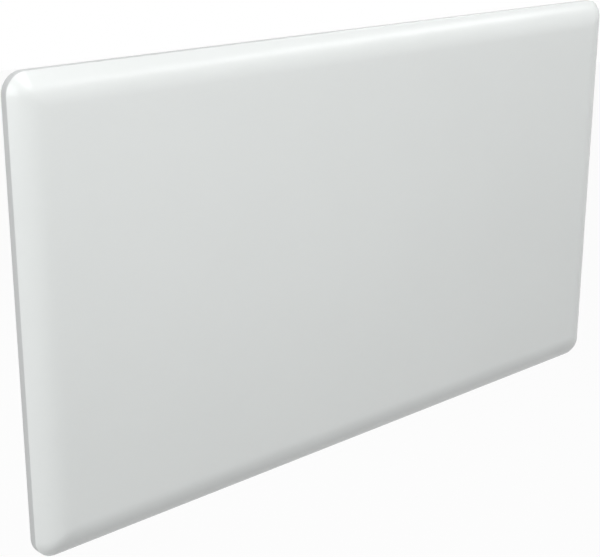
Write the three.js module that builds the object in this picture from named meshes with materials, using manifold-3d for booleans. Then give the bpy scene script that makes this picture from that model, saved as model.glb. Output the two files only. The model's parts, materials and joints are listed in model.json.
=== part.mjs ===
// A wall panel convector heater on its wall bracket, in millimetres.
//
// +Z is up, +Y points into the wall and the front faces -Y. The origin is on the wall plane, at the middle
// of the bracket's cross rail, which is also the middle of the panel's width and height.
//
// The heater is a shallow sheet-steel box. Its front is one pressed panel with a softly rolled border, its
// back is a grey casing whose rim carries the front and then steps in to a smaller box. Air enters through
// the grille in the floor of the box, passes a finned aluminium element and leaves through the top grille.
// The casing stands on two tongues of the bracket and tilts forward on them once two twist locks are turned.

import * as THREE from "three";
import { mergeVertices } from "three/addons/utils/BufferGeometryUtils.js";
import Module from "manifold-3d";

const wasm = await Module();
wasm.setup();

// ---------------------------------------------------------------- driving dimensions

const GAP = 0.3; // between pieces that touch
const THROUGH = 1; // how far a cutting tool runs past the face it cuts
const ARC_STEPS = 3; // facets of a quarter turn on small outlines
const OUTLINE_STEPS = 6; // the same on the outline of the heater
const ROUND_STEPS = 12; // facets of a full circle on shafts and bores
const KNOB_STEPS = 32;
const WIRE_SIDES = 8;
const NUT_SIDES = 6;
const WIRE_STEP = 12; // length of wire per facet
const SAME_VERTEX = 1e-4; // distance under which two vertices of a mesh are one
const SAME_POINT = 1e-6; // the same for two points of an outline

// front panel
const PANEL_WIDTH = 725;
const PANEL_HEIGHT = 400;
const CORNER_RADIUS = 18;
const LEAST_CORNER = 1; // of an outline moved inwards
const ROLL_RADIUS = 36; // of the border, seen in section
const ROLL_TURN = THREE.MathUtils.degToRad(49); // how far the border turns before its crease
const ROLL_STEPS = 5;
const SKIN = 0.8;
const SKIRT_PLAY = 0.5; // between the front's skirt and the inside of the rim
const LUG_WIDTH = 16;
const LUG_REACH = 13; // from the outline inwards

// rear casing
const SHEET = 0.8;
const RIM_DEPTH = 8.5;
const BOX_DEPTH = 39;
const BOX_INSET_SIDE = 24.5;
const BOX_INSET_TOP = 17;
const BOX_INSET_BOTTOM = 15;
const BOX_CORNER = 6;
const WALL_GAP = 28; // from the wall to the back of the box

// air duct and wiring space
const DUCT_MARGIN = 28; // from the box's left side to the duct
const WIRING_WIDTH = 92; // from the duct to the box's right side
const OUTLET_MARGIN = 6.5; // from the step to the outlet
const INLET_MARGIN = 6; // from the bracket's tongue to the inlet
const GRILLE_SHEET = 1;
const GRILLE_LAP = 4; // of the grille behind its opening
const GRILLE_PITCH = 12;
const GRILLE_SLOT = 8;
const GRILLE_BORDER = 2; // from the opening's edge to a slot's end

// heating element
const ELEMENT_MARGIN = 20.5; // from the duct's end to the fins
const ELEMENT_HEIGHT = 67; // of its axis above the underside of the box
const ELEMENT_SETBACK = 27; // of its axis from the back of the box
const WINGS = 4; // of the fins, halfway between the upright and the level
const FIN_REACH = 22;
const FIN_SHEET = 2.2;
const HUB_RADIUS = 7.5;
const RIB_LENGTH = 7;
const ROD_RADIUS = 4;
const ROD_OVERHANG = 19; // of the rod past the fins
const PIN_RADIUS = 1.6;
const PIN_LENGTH = 8;
const TERMINAL_RADIUS = 3.5;
const TERMINAL_LENGTH = 7;
const TERMINAL_TAB = 10; // top of a terminal's tab above the rod's axis
const TAB_SHEET = 0.8;
const BUSH_RADIUS = 7.7;
const BUSH_LENGTH = 12;
const BUSH_FLANGE = 2; // its thickness and how far it stands out
const HANGER_SHEET = 1;
const HANGER_HEIGHT = 62;
const HANGER_DEPTH = 46;
const HANGER_FLANGE = 12;
const HANGER_OFFSET = 10; // from the end of the fins
const HANGER_SCREW_RISE = 15.5; // above and below the rod's axis

// shields and partition
const SHIELD_SHEET = 0.5;
const REAR_SHIELD_GAP = 4.2; // from the back wall
const REAR_SHIELD_TOP = 38; // below the roof of the box
const SHIELD_FLOOR_GAP = 20;
const SHIELD_FOOT = 10;
const DEFLECTOR_DROP = 60; // from the roof to where the front shield starts to lean back
const DEFLECTOR_LEAN = 11;
const FRONT_SHIELD_ROOF_GAP = 7;
const PARTITION_GAP = 11; // from the duct's end
const PARTITION_DEPTH = 46;
const PARTITION_FLANGE = 12;

// screws
const SCREW_RADIUS = 1.9;
const SCREW_HEAD_RADIUS = 3.7;
const SCREW_HEAD = 2.2;
const SCREW_LENGTH = 8;
const FRONT_SCREW_INSET = 122.5; // from the panel's end to its nearest upper and lower screws

// electrics
const WIRE_RADIUS = 1.3;
const WIRE_HOLE_RADIUS = 3.9;
const WIRE_LEAD = 5; // straight length of a wire where it leaves a terminal
const WIRE_CLEAR = 4; // between a wire's middle and what it passes
const WIRE_BOW = 12; // how wide a wire swings round a corner
const WIRE_EASE = 36; // from an end of the fins to where the wire under them runs lowest
const WIRE_SPREAD = 5; // between wires in the control housing
const WIRING_INSET = 38; // of the terminal block's middle from the box's right side
const BLOCK_SIZE = new THREE.Vector3(30, 15, 18);
const BLOCK_PITCH = 10; // between its poles
const BLOCK_POCKET = new THREE.Vector2(2.4, 7.5); // radius and depth
const BLOCK_HEIGHT = 36; // of its middle above the floor
const EARTH_RISE = 34; // of the earth screw above the terminal block
const EARTH_LANE = 0.5; // where the earth wire leaves the block, in poles from its middle
const GLAND_BORE = 4;
const GLAND_NECK = 8;
const GLAND_NECK_LENGTH = 14;
const GLAND_FLANGE = 11;
const GLAND_FLANGE_SHEET = 3;
const GLAND_SNOUT = 6.4;
const GLAND_SNOUT_LENGTH = 8;
const GLAND_SETBACK = 22; // of its axis from the back of the box
const NUT_RADIUS = 12;
const NUT_HEIGHT = 4;
const CUTOUT_RADIUS = 8;
const CUTOUT_HEIGHT = 9;
const CUTOUT_FLANGE = new THREE.Vector3(24, 1, 10);
const CUTOUT_RISE = 62; // above the element's axis
const CUTOUT_INSET = 22; // from the rear shield's right-hand edge
const CUTOUT_TAB = 4; // of each of its tabs from its middle
const TAB_REACH = 5;
const TAB_WIDTH = 5;

// control unit, in the right-hand side of the box
const CONTROL_DROP = 68; // of its middle below the roof
const CONTROL_CUT = new THREE.Vector2(26, 88); // opening in the side, along Y and Z
const CONTROL_CORNER = 3;
const FASCIA_LAP = 3.5;
const FASCIA_SHEET = 2.8;
const FASCIA_CORNER = 6;
const FASCIA_SKIRT = 4;
const FASCIA_SKIRT_WALL = 1.5;
const VENT = new THREE.Vector2(12, 1.4); // length and height of a slot over the sensor
const VENT_PITCH = 3;
const HOUSING_WALL = 2;
const HOUSING_DEPTH = 50;
const WIRE_EXIT = new THREE.Vector2(16, 18); // opening in the floor of the control housing
const BOARD_DEPTH = 27; // of the board behind the side's outer face
const BOARD_SHEET = 1.6;
const KNOB_RISE = 24; // of the knob's axis above the unit's middle
const KNOB_RADIUS = 13;
const KNOB_HEIGHT = 13;
const KNOB_CAP = 2.5;
const POINTER = new THREE.Vector3(0.6, 2, 10); // depth, width and length of the knob's mark
const POINTER_INSET = 1; // from the knob's edge
const SHAFT_RADIUS = 3;
const POT_RADIUS = 8.5;
const POT_HEIGHT = 9;
const POT_FLOOR = 2;
const LENS_RADIUS = 2;
const LENS_PROUD = 0.8;
const SWITCH_DROP = 22; // of the switch below the unit's middle
const SWITCH_CUT = new THREE.Vector2(13, 21);
const SWITCH_CORNER = 1;
const SWITCH_WALL = 1;
const SWITCH_FLOOR = 4;
const SWITCH_DEPTH = 16;
const SWITCH_TAB = 4; // of each of its tabs from its middle
const BEZEL_LAP = 1.5;
const BEZEL_SHEET = 1.2;
const ROCKER_PROUD = 2.4;
const ROCKER_TURN = THREE.MathUtils.degToRad(16);
const ROCKER_PLAY = 1.1; // at each end of the rocker
const ROCKER_SKIRT = 4; // height of the rocker's ends
const ROCKER_ROOT = new THREE.Vector2(2.5, 3); // depth behind its pin, and half its width there
const ROCKER_LIP = 0.6; // by which the ends lie under the highest line
const PIN_SETBACK = 3; // of the rocker's pin behind the fascia's face
const SENSOR_RADIUS = 1.7;
const SENSOR_LEG = 0.5;
const SENSOR_REACH = new THREE.Vector2(-8, -1); // where its bead starts and ends, from the side's outer face
const SENSOR_DROP = 35;
const VENT_DROP = 38;
const RELAY_SIZE = new THREE.Vector3(14, 15, 19);

// wall bracket
const ARM_INSET = 158; // of an arm's middle from the side of the box
const ARM_SHEET = 1.5;
const ARM_WEB = 34;
const ARM_FOOT = 14;
const ARM_DROP = 33; // from the top of the box down to where the channel ends and its tab begins
const TAB_DROP = 3; // from the top of the box down to the tab's end
const LEDGE_WIDTH = 24;
const LEDGE_SHEET = 1.8;
const TONGUE_WIDTH = 16;
const TONGUE_HEIGHT = 8;
const TONGUE_SETBACK = 3; // from the back of the step to the tongue
const TONGUE_PLAY = 1;
const RAIL_HEIGHT = 32;
const RAIL_SHEET = 1.5;
const RAIL_JOGGLE = 3; // from the arm's foot to the rail's joggle
const WALL_SLOT = new THREE.Vector2(14, 5.6); // length and width of the slots for wall screws
const RAIL_SLOT_X = 80;
const FOOT_SLOT_DROP = 35; // from the channel's top
const PAD_PLAY = 1.5; // between the back of the box and an arm's web
const PAD_SIZE = new THREE.Vector2(22, 16);
const PAD_CORNER = 3;
const PAD_RISE = 35; // above the underside of the box
const PAD_DROP = 63; // below the top of the box

// twist locks
const LOCK_DROP = 18; // of the axis below the top of the box
const LOCK_HEAD = new THREE.Vector3(18, 3, 5.5);
const LOCK_TAIL = 2.5;
const LOCK_SHAFT = 3.5;
const LOCK_COLLAR = 5.5;
const LOCK_LEVER = new THREE.Vector2(8, 14); // width, and reach from the axis
const LOCK_LEVER_STEP = 1; // between the hub's front face and the lever's
const LOCK_HUB = 8;
const LOCK_HUB_HEIGHT = 4;
const LOCK_CAP = 1; // of the hub over the bolt's tail
const LOCK_REACH = 4; // from the inside of the back wall to the head
const LOCK_PLAY = 1.75;

// ---------------------------------------------------------------- derived planes

const boxBackY = -WALL_GAP;
const boxBackInnerY = boxBackY - SHEET;
const seatY = boxBackInnerY - GAP; // of what lies on the inside of the back wall
const stepY = boxBackY - BOX_DEPTH; // rear face of the step between the box and the rim
const stepFrontY = stepY - SHEET;
const creaseY = stepY - RIM_DEPTH; // where the rim meets the front panel
const boxRightX = PANEL_WIDTH / 2 - BOX_INSET_SIDE;
const boxTopZ = PANEL_HEIGHT / 2 - BOX_INSET_TOP;
const boxBottomZ = -PANEL_HEIGHT / 2 + BOX_INSET_BOTTOM;
const roofZ = boxTopZ - SHEET;
const floorZ = boxBottomZ + SHEET;
const skirtInset = SHEET + SKIRT_PLAY;
const lugRearY = stepFrontY - GAP;
const armX = boxRightX - ARM_INSET;
const ductLeftX = -boxRightX + DUCT_MARGIN;
const ductRightX = boxRightX - WIRING_WIDTH;

const elementY = boxBackY - ELEMENT_SETBACK;
const elementZ = boxBottomZ + ELEMENT_HEIGHT;
const elementLeftX = ductLeftX + ELEMENT_MARGIN;
const elementRightX = ductRightX - ELEMENT_MARGIN;
const rodEnds = [elementLeftX - ROD_OVERHANG, elementRightX + ROD_OVERHANG];
const pinEnds = [rodEnds[0] - PIN_LENGTH, rodEnds[1] + PIN_LENGTH];
const hangerLeftX = elementLeftX - HANGER_OFFSET;
const hangerRightX = elementRightX + HANGER_OFFSET;
const hangerFrontY = seatY - HANGER_DEPTH;
const shieldLeftX = hangerLeftX + HANGER_FLANGE + 2 * HANGER_SHEET;
const shieldRightX = hangerRightX - HANGER_FLANGE - 2 * HANGER_SHEET;
const shieldRearY = boxBackInnerY - REAR_SHIELD_GAP; // rear face of the rear shield
const partitionX = ductRightX + PARTITION_GAP;

const wiringX = boxRightX - WIRING_INSET;
const glandY = boxBackY - GLAND_SETBACK;
const blockZ = floorZ + BLOCK_HEIGHT;
const earthZ = blockZ + EARTH_RISE;
const cutoutX = shieldRightX - CUTOUT_INSET;
const cutoutY = shieldRearY - SHIELD_SHEET - GAP; // its seat on the rear shield
const cutoutZ = elementZ + CUTOUT_RISE;
const controlY = boxBackY - BOX_DEPTH / 2;
const controlZ = boxTopZ - CONTROL_DROP;

const webFrontY = boxBackY + PAD_PLAY;
const webBackY = webFrontY + ARM_SHEET;
const ledgeTopZ = boxBottomZ - GAP;
const ledgeLowZ = ledgeTopZ - LEDGE_SHEET;
const channelTopZ = boxTopZ - ARM_DROP;
const tongueFrontY = stepY + TONGUE_SETBACK;
const tongueRearY = tongueFrontY + LEDGE_SHEET;
const lockZ = boxTopZ - LOCK_DROP;

// ---------------------------------------------------------------- helpers

// A closed geometry as a solid that can be cut and joined.
function solidOf(geometry) {
  const bare = geometry.clone();
  bare.deleteAttribute("normal");
  bare.deleteAttribute("uv");
  const merged = mergeVertices(bare, SAME_VERTEX);
  return new wasm.Manifold(
    new wasm.Mesh({
      numProp: 3,
      vertProperties: merged.attributes.position.array,
      triVerts: new Uint32Array(merged.index.array),
    }),
  );
}

// A solid as a geometry, ready for a mesh.
function geometryOf(solid) {
  const { vertProperties, triVerts } = solid.getMesh();
  const geometry = new THREE.BufferGeometry();
  geometry.setAttribute("position", new THREE.BufferAttribute(vertProperties, 3));
  geometry.setIndex(new THREE.BufferAttribute(triVerts, 1));
  geometry.computeVertexNormals();
  return geometry;
}

const join = (...solids) => solids.reduce((whole, next) => whole.add(next));
const cut = (solid, ...tools) => tools.reduce((whole, next) => whole.subtract(next), solid);

const AXES = {
  x: [new THREE.Vector3(0, 1, 0), new THREE.Vector3(0, 0, 1), new THREE.Vector3(1, 0, 0)],
  y: [new THREE.Vector3(1, 0, 0), new THREE.Vector3(0, 0, 1), new THREE.Vector3(0, -1, 0)],
  z: [new THREE.Vector3(1, 0, 0), new THREE.Vector3(0, 1, 0), new THREE.Vector3(0, 0, 1)],
};

// A flat shape pushed along an axis between two places. On x the shape lies in YZ, on y in XZ, on z in XY.
function prism(axis, shape, from, to) {
  const [low, high] = [Math.min(from, to), Math.max(from, to)];
  const geometry = new THREE.ExtrudeGeometry(shape, {
    depth: high - low,
    bevelEnabled: false,
  });
  geometry.applyMatrix4(new THREE.Matrix4().makeBasis(...AXES[axis]));
  geometry.translate(
    axis === "x" ? low : 0,
    axis === "y" ? high : 0,
    axis === "z" ? low : 0,
  );
  return solidOf(geometry);
}

const polygon = (points) => new THREE.Shape(points.map(([a, b]) => new THREE.Vector2(a, b)));

const rectangle = (a0, b0, a1, b1) =>
  polygon([
    [a0, b0],
    [a1, b0],
    [a1, b1],
    [a0, b1],
  ]);

const box = (x0, x1, y0, y1, z0, z1) => prism("z", rectangle(x0, y0, x1, y1), z0, z1);

// Points of a rectangle with rounded corners, anticlockwise, without the doubled ones at the ends of a slot.
function roundedPoints(a0, b0, a1, b1, radius, steps = ARC_STEPS) {
  const centres = [
    [a1 - radius, b0 + radius],
    [a1 - radius, b1 - radius],
    [a0 + radius, b1 - radius],
    [a0 + radius, b0 + radius],
  ];
  const points = centres.flatMap(([a, b], corner) =>
    Array.from({ length: steps + 1 }, (_, step) => {
      const turn = (corner - 1 + step / steps) * (Math.PI / 2);
      return [a + radius * Math.cos(turn), b + radius * Math.sin(turn)];
    }),
  );
  const apart = ([a, b], [c, d]) => Math.hypot(a - c, b - d) > SAME_POINT;
  return points.filter((point, i) => apart(point, points[(i + 1) % points.length]));
}

// The same about a middle, with its two sizes.
const roundedRectangle = (a, b, width, height, radius) =>
  polygon(roundedPoints(a - width / 2, b - height / 2, a + width / 2, b + height / 2, radius));

// A slot with round ends, along the longer of its two sizes.
const slot = (a, b, width, height) => roundedRectangle(a, b, width, height, Math.min(width, height) / 2);

function circle(a, b, radius, steps = ROUND_STEPS) {
  return polygon(
    Array.from({ length: steps }, (_, step) => {
      const turn = (step / steps) * 2 * Math.PI;
      return [a + radius * Math.cos(turn), b + radius * Math.sin(turn)];
    }),
  );
}

const cylinder = (axis, a, b, radius, from, to) => prism(axis, circle(a, b, radius), from, to);

// A round hole between two places, run a little past both.
const bore = (axis, a, b, radius, from, to) =>
  cylinder(axis, a, b, radius, Math.min(from, to) - THROUGH, Math.max(from, to) + THROUGH);

// The section of a folded sheet: a line of bends given one thickness to its left.
function foldedSheet(bends, thickness) {
  const points = bends.map(([a, b]) => new THREE.Vector2(a, b));
  const normals = points.slice(1).map((p, i) => {
    const along = p.clone().sub(points[i]).normalize();
    return new THREE.Vector2(-along.y, along.x);
  });
  const offset = points.map((p, i) => {
    const before = normals[Math.max(i - 1, 0)];
    const after = normals[Math.min(i, normals.length - 1)];
    const mitre = before.clone().add(after).normalize();
    return p.clone().addScaledVector(mitre, thickness / mitre.dot(after));
  });
  return new THREE.Shape([...points, ...offset.reverse()]);
}

// A closed skin over a stack of outlines with equal point counts, capped by a fan at each end.
function loft(rings) {
  const count = rings[0].length;
  const positions = rings.flat(2);
  const faces = [];
  for (let ring = 0; ring + 1 < rings.length; ring++) {
    for (let i = 0; i < count; i++) {
      const next = (i + 1) % count;
      const [a, b] = [ring * count + i, ring * count + next];
      faces.push(a, b, b + count, a, b + count, a + count);
    }
  }
  const middle = (ring) =>
    [0, 1, 2].map((k) => ring.reduce((sum, point) => sum + point[k], 0) / count);
  positions.push(...middle(rings[0]), ...middle(rings.at(-1)));
  const [first, last] = [rings.length * count, rings.length * count + 1];
  for (let i = 0; i < count; i++) {
    const next = (i + 1) % count;
    faces.push(first, next, i);
    faces.push(last, (rings.length - 1) * count + i, (rings.length - 1) * count + next);
  }
  const geometry = new THREE.BufferGeometry();
  geometry.setAttribute("position", new THREE.Float32BufferAttribute(positions, 3));
  geometry.setIndex(faces);
  return solidOf(geometry);
}

// ---------------------------------------------------------------- outlines of the heater

// The heater's outline, moved inwards; corners tighten as it shrinks.
function outlinePoints(inset) {
  const [a, b] = [PANEL_WIDTH / 2 - inset, PANEL_HEIGHT / 2 - inset];
  return roundedPoints(-a, -b, a, b, Math.max(CORNER_RADIUS - inset, LEAST_CORNER), OUTLINE_STEPS);
}

const outlinePrism = (inset, from, to) => prism("y", polygon(outlinePoints(inset)), from, to);

// The smaller box behind it, moved inwards in the same way.
function boxPrism(inset, from, to) {
  const points = roundedPoints(
    -boxRightX + inset,
    boxBottomZ + inset,
    boxRightX - inset,
    boxTopZ - inset,
    Math.max(BOX_CORNER - inset, LEAST_CORNER),
  );
  return prism("y", polygon(points), from, to);
}

// Where the six screws hold the front to the step, midway between the outline and the box.
const screwX = PANEL_WIDTH / 2 - FRONT_SCREW_INSET;
const frontScrews = [-1, 1].flatMap((side) => [
  [side * screwX, PANEL_HEIGHT / 2 - BOX_INSET_TOP / 2],
  [side * screwX, -PANEL_HEIGHT / 2 + BOX_INSET_BOTTOM / 2],
  [side * (PANEL_WIDTH / 2 - BOX_INSET_SIDE / 2), 0],
]);

// ---------------------------------------------------------------- front panel

// One surface of the rolled border and flat, `depth` inside the outer surface.
function pillow(depth, leastInset) {
  const rings = [];
  for (let step = 0; step <= ROLL_STEPS; step++) {
    const turn = ROLL_TURN * (1 - step / ROLL_STEPS);
    const inset = ROLL_RADIUS * (Math.sin(ROLL_TURN) - Math.sin(turn)) + depth * Math.sin(turn);
    const rise = ROLL_RADIUS * (Math.cos(turn) - Math.cos(ROLL_TURN)) - depth * Math.cos(turn);
    const points = outlinePoints(Math.max(inset, leastInset));
    rings.push(points.map(([x, z]) => [x, creaseY - rise, z]));
  }
  return loft(rings);
}

// A lug on the skirt with a hole for one screw, reaching inwards from the nearest edge.
function frontLug([x, z]) {
  const onEnd = z === 0;
  const [halfX, halfZ] = onEnd ? [LUG_REACH, LUG_WIDTH / 2] : [LUG_WIDTH / 2, LUG_REACH];
  const middleX = onEnd ? Math.sign(x) * (PANEL_WIDTH / 2) : x;
  const middleZ = Math.sign(z) * (PANEL_HEIGHT / 2);
  const front = lugRearY - SKIN;
  return cut(
    box(middleX - halfX, middleX + halfX, front, lugRearY, middleZ - halfZ, middleZ + halfZ),
    bore("y", x, z, SCREW_RADIUS + GAP, front, lugRearY),
  );
}

function frontPanel() {
  const innerInset = skirtInset + SKIN;
  const shell = cut(
    join(pillow(0, 0), outlinePrism(skirtInset, creaseY - SKIN, lugRearY)),
    pillow(SKIN, innerInset),
    outlinePrism(innerInset, creaseY - SKIN, lugRearY + THROUGH),
  );
  const inside = outlinePrism(skirtInset + SKIN / 2, lugRearY - SKIN, lugRearY);
  return join(shell, ...frontScrews.map((place) => frontLug(place).intersect(inside)));
}

// ---------------------------------------------------------------- rear casing

// Openings in the floor and roof of the box, as rectangles in XY.
const ductRearY = seatY - GRILLE_LAP;
const inlet = [ductLeftX, tongueRearY + INLET_MARGIN, ductRightX, ductRearY];
const outlet = [ductLeftX, stepY + OUTLET_MARGIN, ductRightX, ductRearY];

// Screws that come in from behind to hold the two hangers of the element.
const hangerFlangeMiddle = HANGER_SHEET + HANGER_FLANGE / 2;
const hangerScrews = [hangerLeftX + hangerFlangeMiddle, hangerRightX - hangerFlangeMiddle].flatMap((x) =>
  [-HANGER_SCREW_RISE, HANGER_SCREW_RISE].map((rise) => [x, elementZ + rise]),
);

const throughBack = (shape) => prism("y", shape, boxBackInnerY - THROUGH, boxBackY + THROUGH);
const throughStep = (shape) => prism("y", shape, stepFrontY - THROUGH, stepY + THROUGH);
const throughFloor = (shape) => prism("z", shape, boxBottomZ - THROUGH, floorZ + THROUGH);
const throughRoof = (shape) => prism("z", shape, roofZ - THROUGH, boxTopZ + THROUGH);
const throughRight = (shape) => prism("x", shape, boxRightX - SHEET - THROUGH, boxRightX + THROUGH);

// The slot in the back that lets a lock's head through while the lock is open.
const lockSlot = (x) =>
  rectangle(
    x - LOCK_HEAD.x / 2 - LOCK_PLAY,
    lockZ - LOCK_HEAD.z / 2 - LOCK_PLAY,
    x + LOCK_HEAD.x / 2 + LOCK_PLAY,
    lockZ + LOCK_HEAD.z / 2 + LOCK_PLAY,
  );

// The slot in the floor that drops over a tongue of the bracket.
const tongueSlot = (x) =>
  rectangle(
    x - TONGUE_WIDTH / 2 - TONGUE_PLAY,
    tongueFrontY - TONGUE_PLAY,
    x + TONGUE_WIDTH / 2 + TONGUE_PLAY,
    tongueRearY + TONGUE_PLAY,
  );

function rearCasing() {
  const tray = cut(
    join(outlinePrism(0, creaseY + GAP, stepY), boxPrism(0, stepFrontY, boxBackY)),
    outlinePrism(SHEET, creaseY, stepFrontY),
    boxPrism(SHEET, stepFrontY - THROUGH, boxBackInnerY),
  );
  return cut(
    tray,
    ...frontScrews.map(([x, z]) => throughStep(circle(x, z, SCREW_RADIUS + GAP))),
    ...hangerScrews.map(([x, z]) => throughBack(circle(x, z, SCREW_RADIUS + GAP))),
    throughBack(circle(wiringX, earthZ, SCREW_RADIUS + GAP)),
    throughFloor(circle(wiringX, glandY, GLAND_NECK + GAP)),
    throughFloor(rectangle(...inlet)),
    throughRoof(rectangle(...outlet)),
    throughRight(roundedRectangle(controlY, controlZ, CONTROL_CUT.x, CONTROL_CUT.y, CONTROL_CORNER)),
    ...[-armX, armX].map((x) => throughBack(lockSlot(x))),
    ...[-armX, armX].map((x) => throughFloor(tongueSlot(x))),
  );
}

// A plate with a row of slots, laid behind an opening of the floor or the roof.
function grille([x0, y0, x1, y1], fromZ) {
  const outline = rectangle(x0 - GRILLE_LAP, y0 - GRILLE_LAP, x1 + GRILLE_LAP, y1 + GRILLE_LAP);
  const count = Math.floor((x1 - x0 - GRILLE_SLOT) / GRILLE_PITCH);
  const start = (x0 + x1) / 2 - ((count - 1) * GRILLE_PITCH) / 2;
  const slots = Array.from({ length: count }, (_, i) => {
    const x = start + i * GRILLE_PITCH;
    const hole = rectangle(x - GRILLE_SLOT / 2, y0 + GRILLE_BORDER, x + GRILLE_SLOT / 2, y1 - GRILLE_BORDER);
    return prism("z", hole, fromZ - THROUGH, fromZ + GRILLE_SHEET + THROUGH);
  });
  return cut(prism("z", outline, fromZ, fromZ + GRILLE_SHEET), ...slots);
}

// ---------------------------------------------------------------- shields and partition

function rearShield() {
  const [low, high] = [floorZ + SHIELD_FLOOR_GAP, roofZ - REAR_SHIELD_TOP];
  const footY = seatY - SHIELD_SHEET;
  const bends = [
    [footY, low - SHIELD_FOOT],
    [footY, low],
    [shieldRearY, low],
    [shieldRearY, high],
    [footY, high],
    [footY, high + SHIELD_FOOT],
  ];
  return prism("x", foldedSheet(bends, -SHIELD_SHEET), shieldLeftX, shieldRightX);
}

function frontShield() {
  const frontY = hangerFrontY - GAP;
  const bends = [
    [frontY + SHIELD_FOOT, floorZ + SHIELD_FLOOR_GAP],
    [frontY, floorZ + SHIELD_FLOOR_GAP],
    [frontY, roofZ - DEFLECTOR_DROP],
    [frontY + DEFLECTOR_LEAN, roofZ - FRONT_SHIELD_ROOF_GAP],
  ];
  return prism("x", foldedSheet(bends, SHIELD_SHEET), hangerLeftX, hangerRightX);
}

// Where the live and the neutral wire pass the partition, as Y and Z.
const liveHole = [elementY + 2 * WIRE_CLEAR, cutoutZ];
const neutralHole = [elementY + 2 * WIRE_CLEAR, elementZ + 4 * WIRE_CLEAR];

function partition() {
  const bends = [
    [partitionX + PARTITION_FLANGE, seatY],
    [partitionX, seatY],
    [partitionX, seatY - PARTITION_DEPTH],
    [partitionX + PARTITION_FLANGE, seatY - PARTITION_DEPTH],
  ];
  const plate = prism("z", foldedSheet(bends, HANGER_SHEET), floorZ + GAP, roofZ - GAP);
  const holes = [neutralHole, liveHole].map(([y, z]) =>
    bore("x", y, z, WIRE_HOLE_RADIUS, partitionX, partitionX + HANGER_SHEET),
  );
  return cut(plate, ...holes);
}

// ---------------------------------------------------------------- heating element

// A four-winged aluminium extrusion with short cross ribs on its wings.
function elementFins() {
  const span = [elementLeftX, elementRightX];
  const bar = (along, across, offset) => {
    const shape = rectangle(offset - along / 2, -across / 2, offset + along / 2, across / 2);
    return prism("x", shape, ...span);
  };
  const turns = Array.from({ length: WINGS }, (_, i) => ((i + 0.5) / WINGS) * 360);
  const wings = turns.flatMap((angle) =>
    [
      bar(FIN_REACH, FIN_SHEET, FIN_REACH / 2),
      bar(FIN_SHEET, RIB_LENGTH, FIN_REACH - FIN_SHEET / 2),
      bar(FIN_SHEET, RIB_LENGTH, (FIN_REACH + HUB_RADIUS) / 2),
    ].map((solid) => solid.rotate([angle, 0, 0])),
  );
  const hub = cylinder("x", 0, 0, HUB_RADIUS, ...span);
  const fins = cut(join(hub, ...wings), bore("x", 0, 0, ROD_RADIUS + GAP, ...span));
  return fins.translate([0, elementY, elementZ]);
}

function heatingRod() {
  return join(
    cylinder("x", elementY, elementZ, ROD_RADIUS, ...rodEnds),
    cylinder("x", elementY, elementZ, PIN_RADIUS, ...pinEnds),
  );
}

// side is -1 for the left hanger, 1 for the right; its flanges turn towards the fins.
function hanger(side) {
  const x = side < 0 ? hangerLeftX : hangerRightX;
  const flangeEnd = x - side * (HANGER_FLANGE + HANGER_SHEET);
  const bends = [
    [flangeEnd, seatY],
    [x, seatY],
    [x, hangerFrontY],
    [flangeEnd, hangerFrontY],
  ];
  const [low, high] = [elementZ - HANGER_HEIGHT / 2, elementZ + HANGER_HEIGHT / 2];
  const holeX = x - side * hangerFlangeMiddle;
  const holes = [-HANGER_SCREW_RISE, HANGER_SCREW_RISE].map((rise) =>
    bore("y", holeX, elementZ + rise, SCREW_RADIUS + GAP, seatY - HANGER_SHEET, seatY),
  );
  return cut(
    prism("z", foldedSheet(bends, side * -HANGER_SHEET), low, high),
    bore("x", elementY, elementZ, BUSH_RADIUS + GAP, x - side * HANGER_SHEET, x),
    ...holes,
  );
}

// A flanged ceramic ring that holds the rod in its hanger.
function bush(side) {
  const flangeX = (side < 0 ? hangerLeftX : hangerRightX) + side * GAP;
  const outer = flangeX + side * BUSH_FLANGE;
  const inner = outer - side * BUSH_LENGTH;
  return cut(
    join(
      cylinder("x", elementY, elementZ, BUSH_RADIUS, outer, inner),
      cylinder("x", elementY, elementZ, BUSH_RADIUS + BUSH_FLANGE, outer, flangeX),
    ),
    bore("x", elementY, elementZ, ROD_RADIUS + GAP, outer, inner),
  );
}

// A push-on sleeve with a flat tab that a wire meets.
function terminal(side) {
  const inner = (side < 0 ? rodEnds[0] : rodEnds[1]) + side * GAP;
  const outer = inner + side * TERMINAL_LENGTH;
  const tab = box(
    Math.min(inner, outer),
    Math.max(inner, outer),
    elementY - TAB_SHEET / 2,
    elementY + TAB_SHEET / 2,
    elementZ,
    elementZ + TERMINAL_TAB,
  );
  return cut(
    join(cylinder("x", elementY, elementZ, TERMINAL_RADIUS, inner, outer), tab),
    bore("x", elementY, elementZ, PIN_RADIUS + GAP, inner, outer),
  );
}

// ---------------------------------------------------------------- electrics

function overheatCutout() {
  const { x: flangeWidth, y: flangeSheet, z: flangeHeight } = CUTOUT_FLANGE;
  const capY = cutoutY - CUTOUT_HEIGHT;
  const tab = (side) => {
    const x = cutoutX + side * CUTOUT_TAB;
    const [low, high] = [cutoutZ - TAB_WIDTH / 2, cutoutZ + TAB_WIDTH / 2];
    return box(x - TAB_SHEET / 2, x + TAB_SHEET / 2, capY - TAB_REACH, capY + TAB_REACH, low, high);
  };
  return join(
    prism(
      "y",
      slot(cutoutX, cutoutZ, flangeWidth, flangeHeight),
      cutoutY - flangeSheet,
      cutoutY,
    ),
    cylinder("y", cutoutX, cutoutZ, CUTOUT_RADIUS, capY, cutoutY),
    tab(-1),
    tab(1),
  );
}

const blockFrontY = seatY - BLOCK_SIZE.y;
const blockLaneX = (place) => wiringX + place * BLOCK_PITCH;

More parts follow.
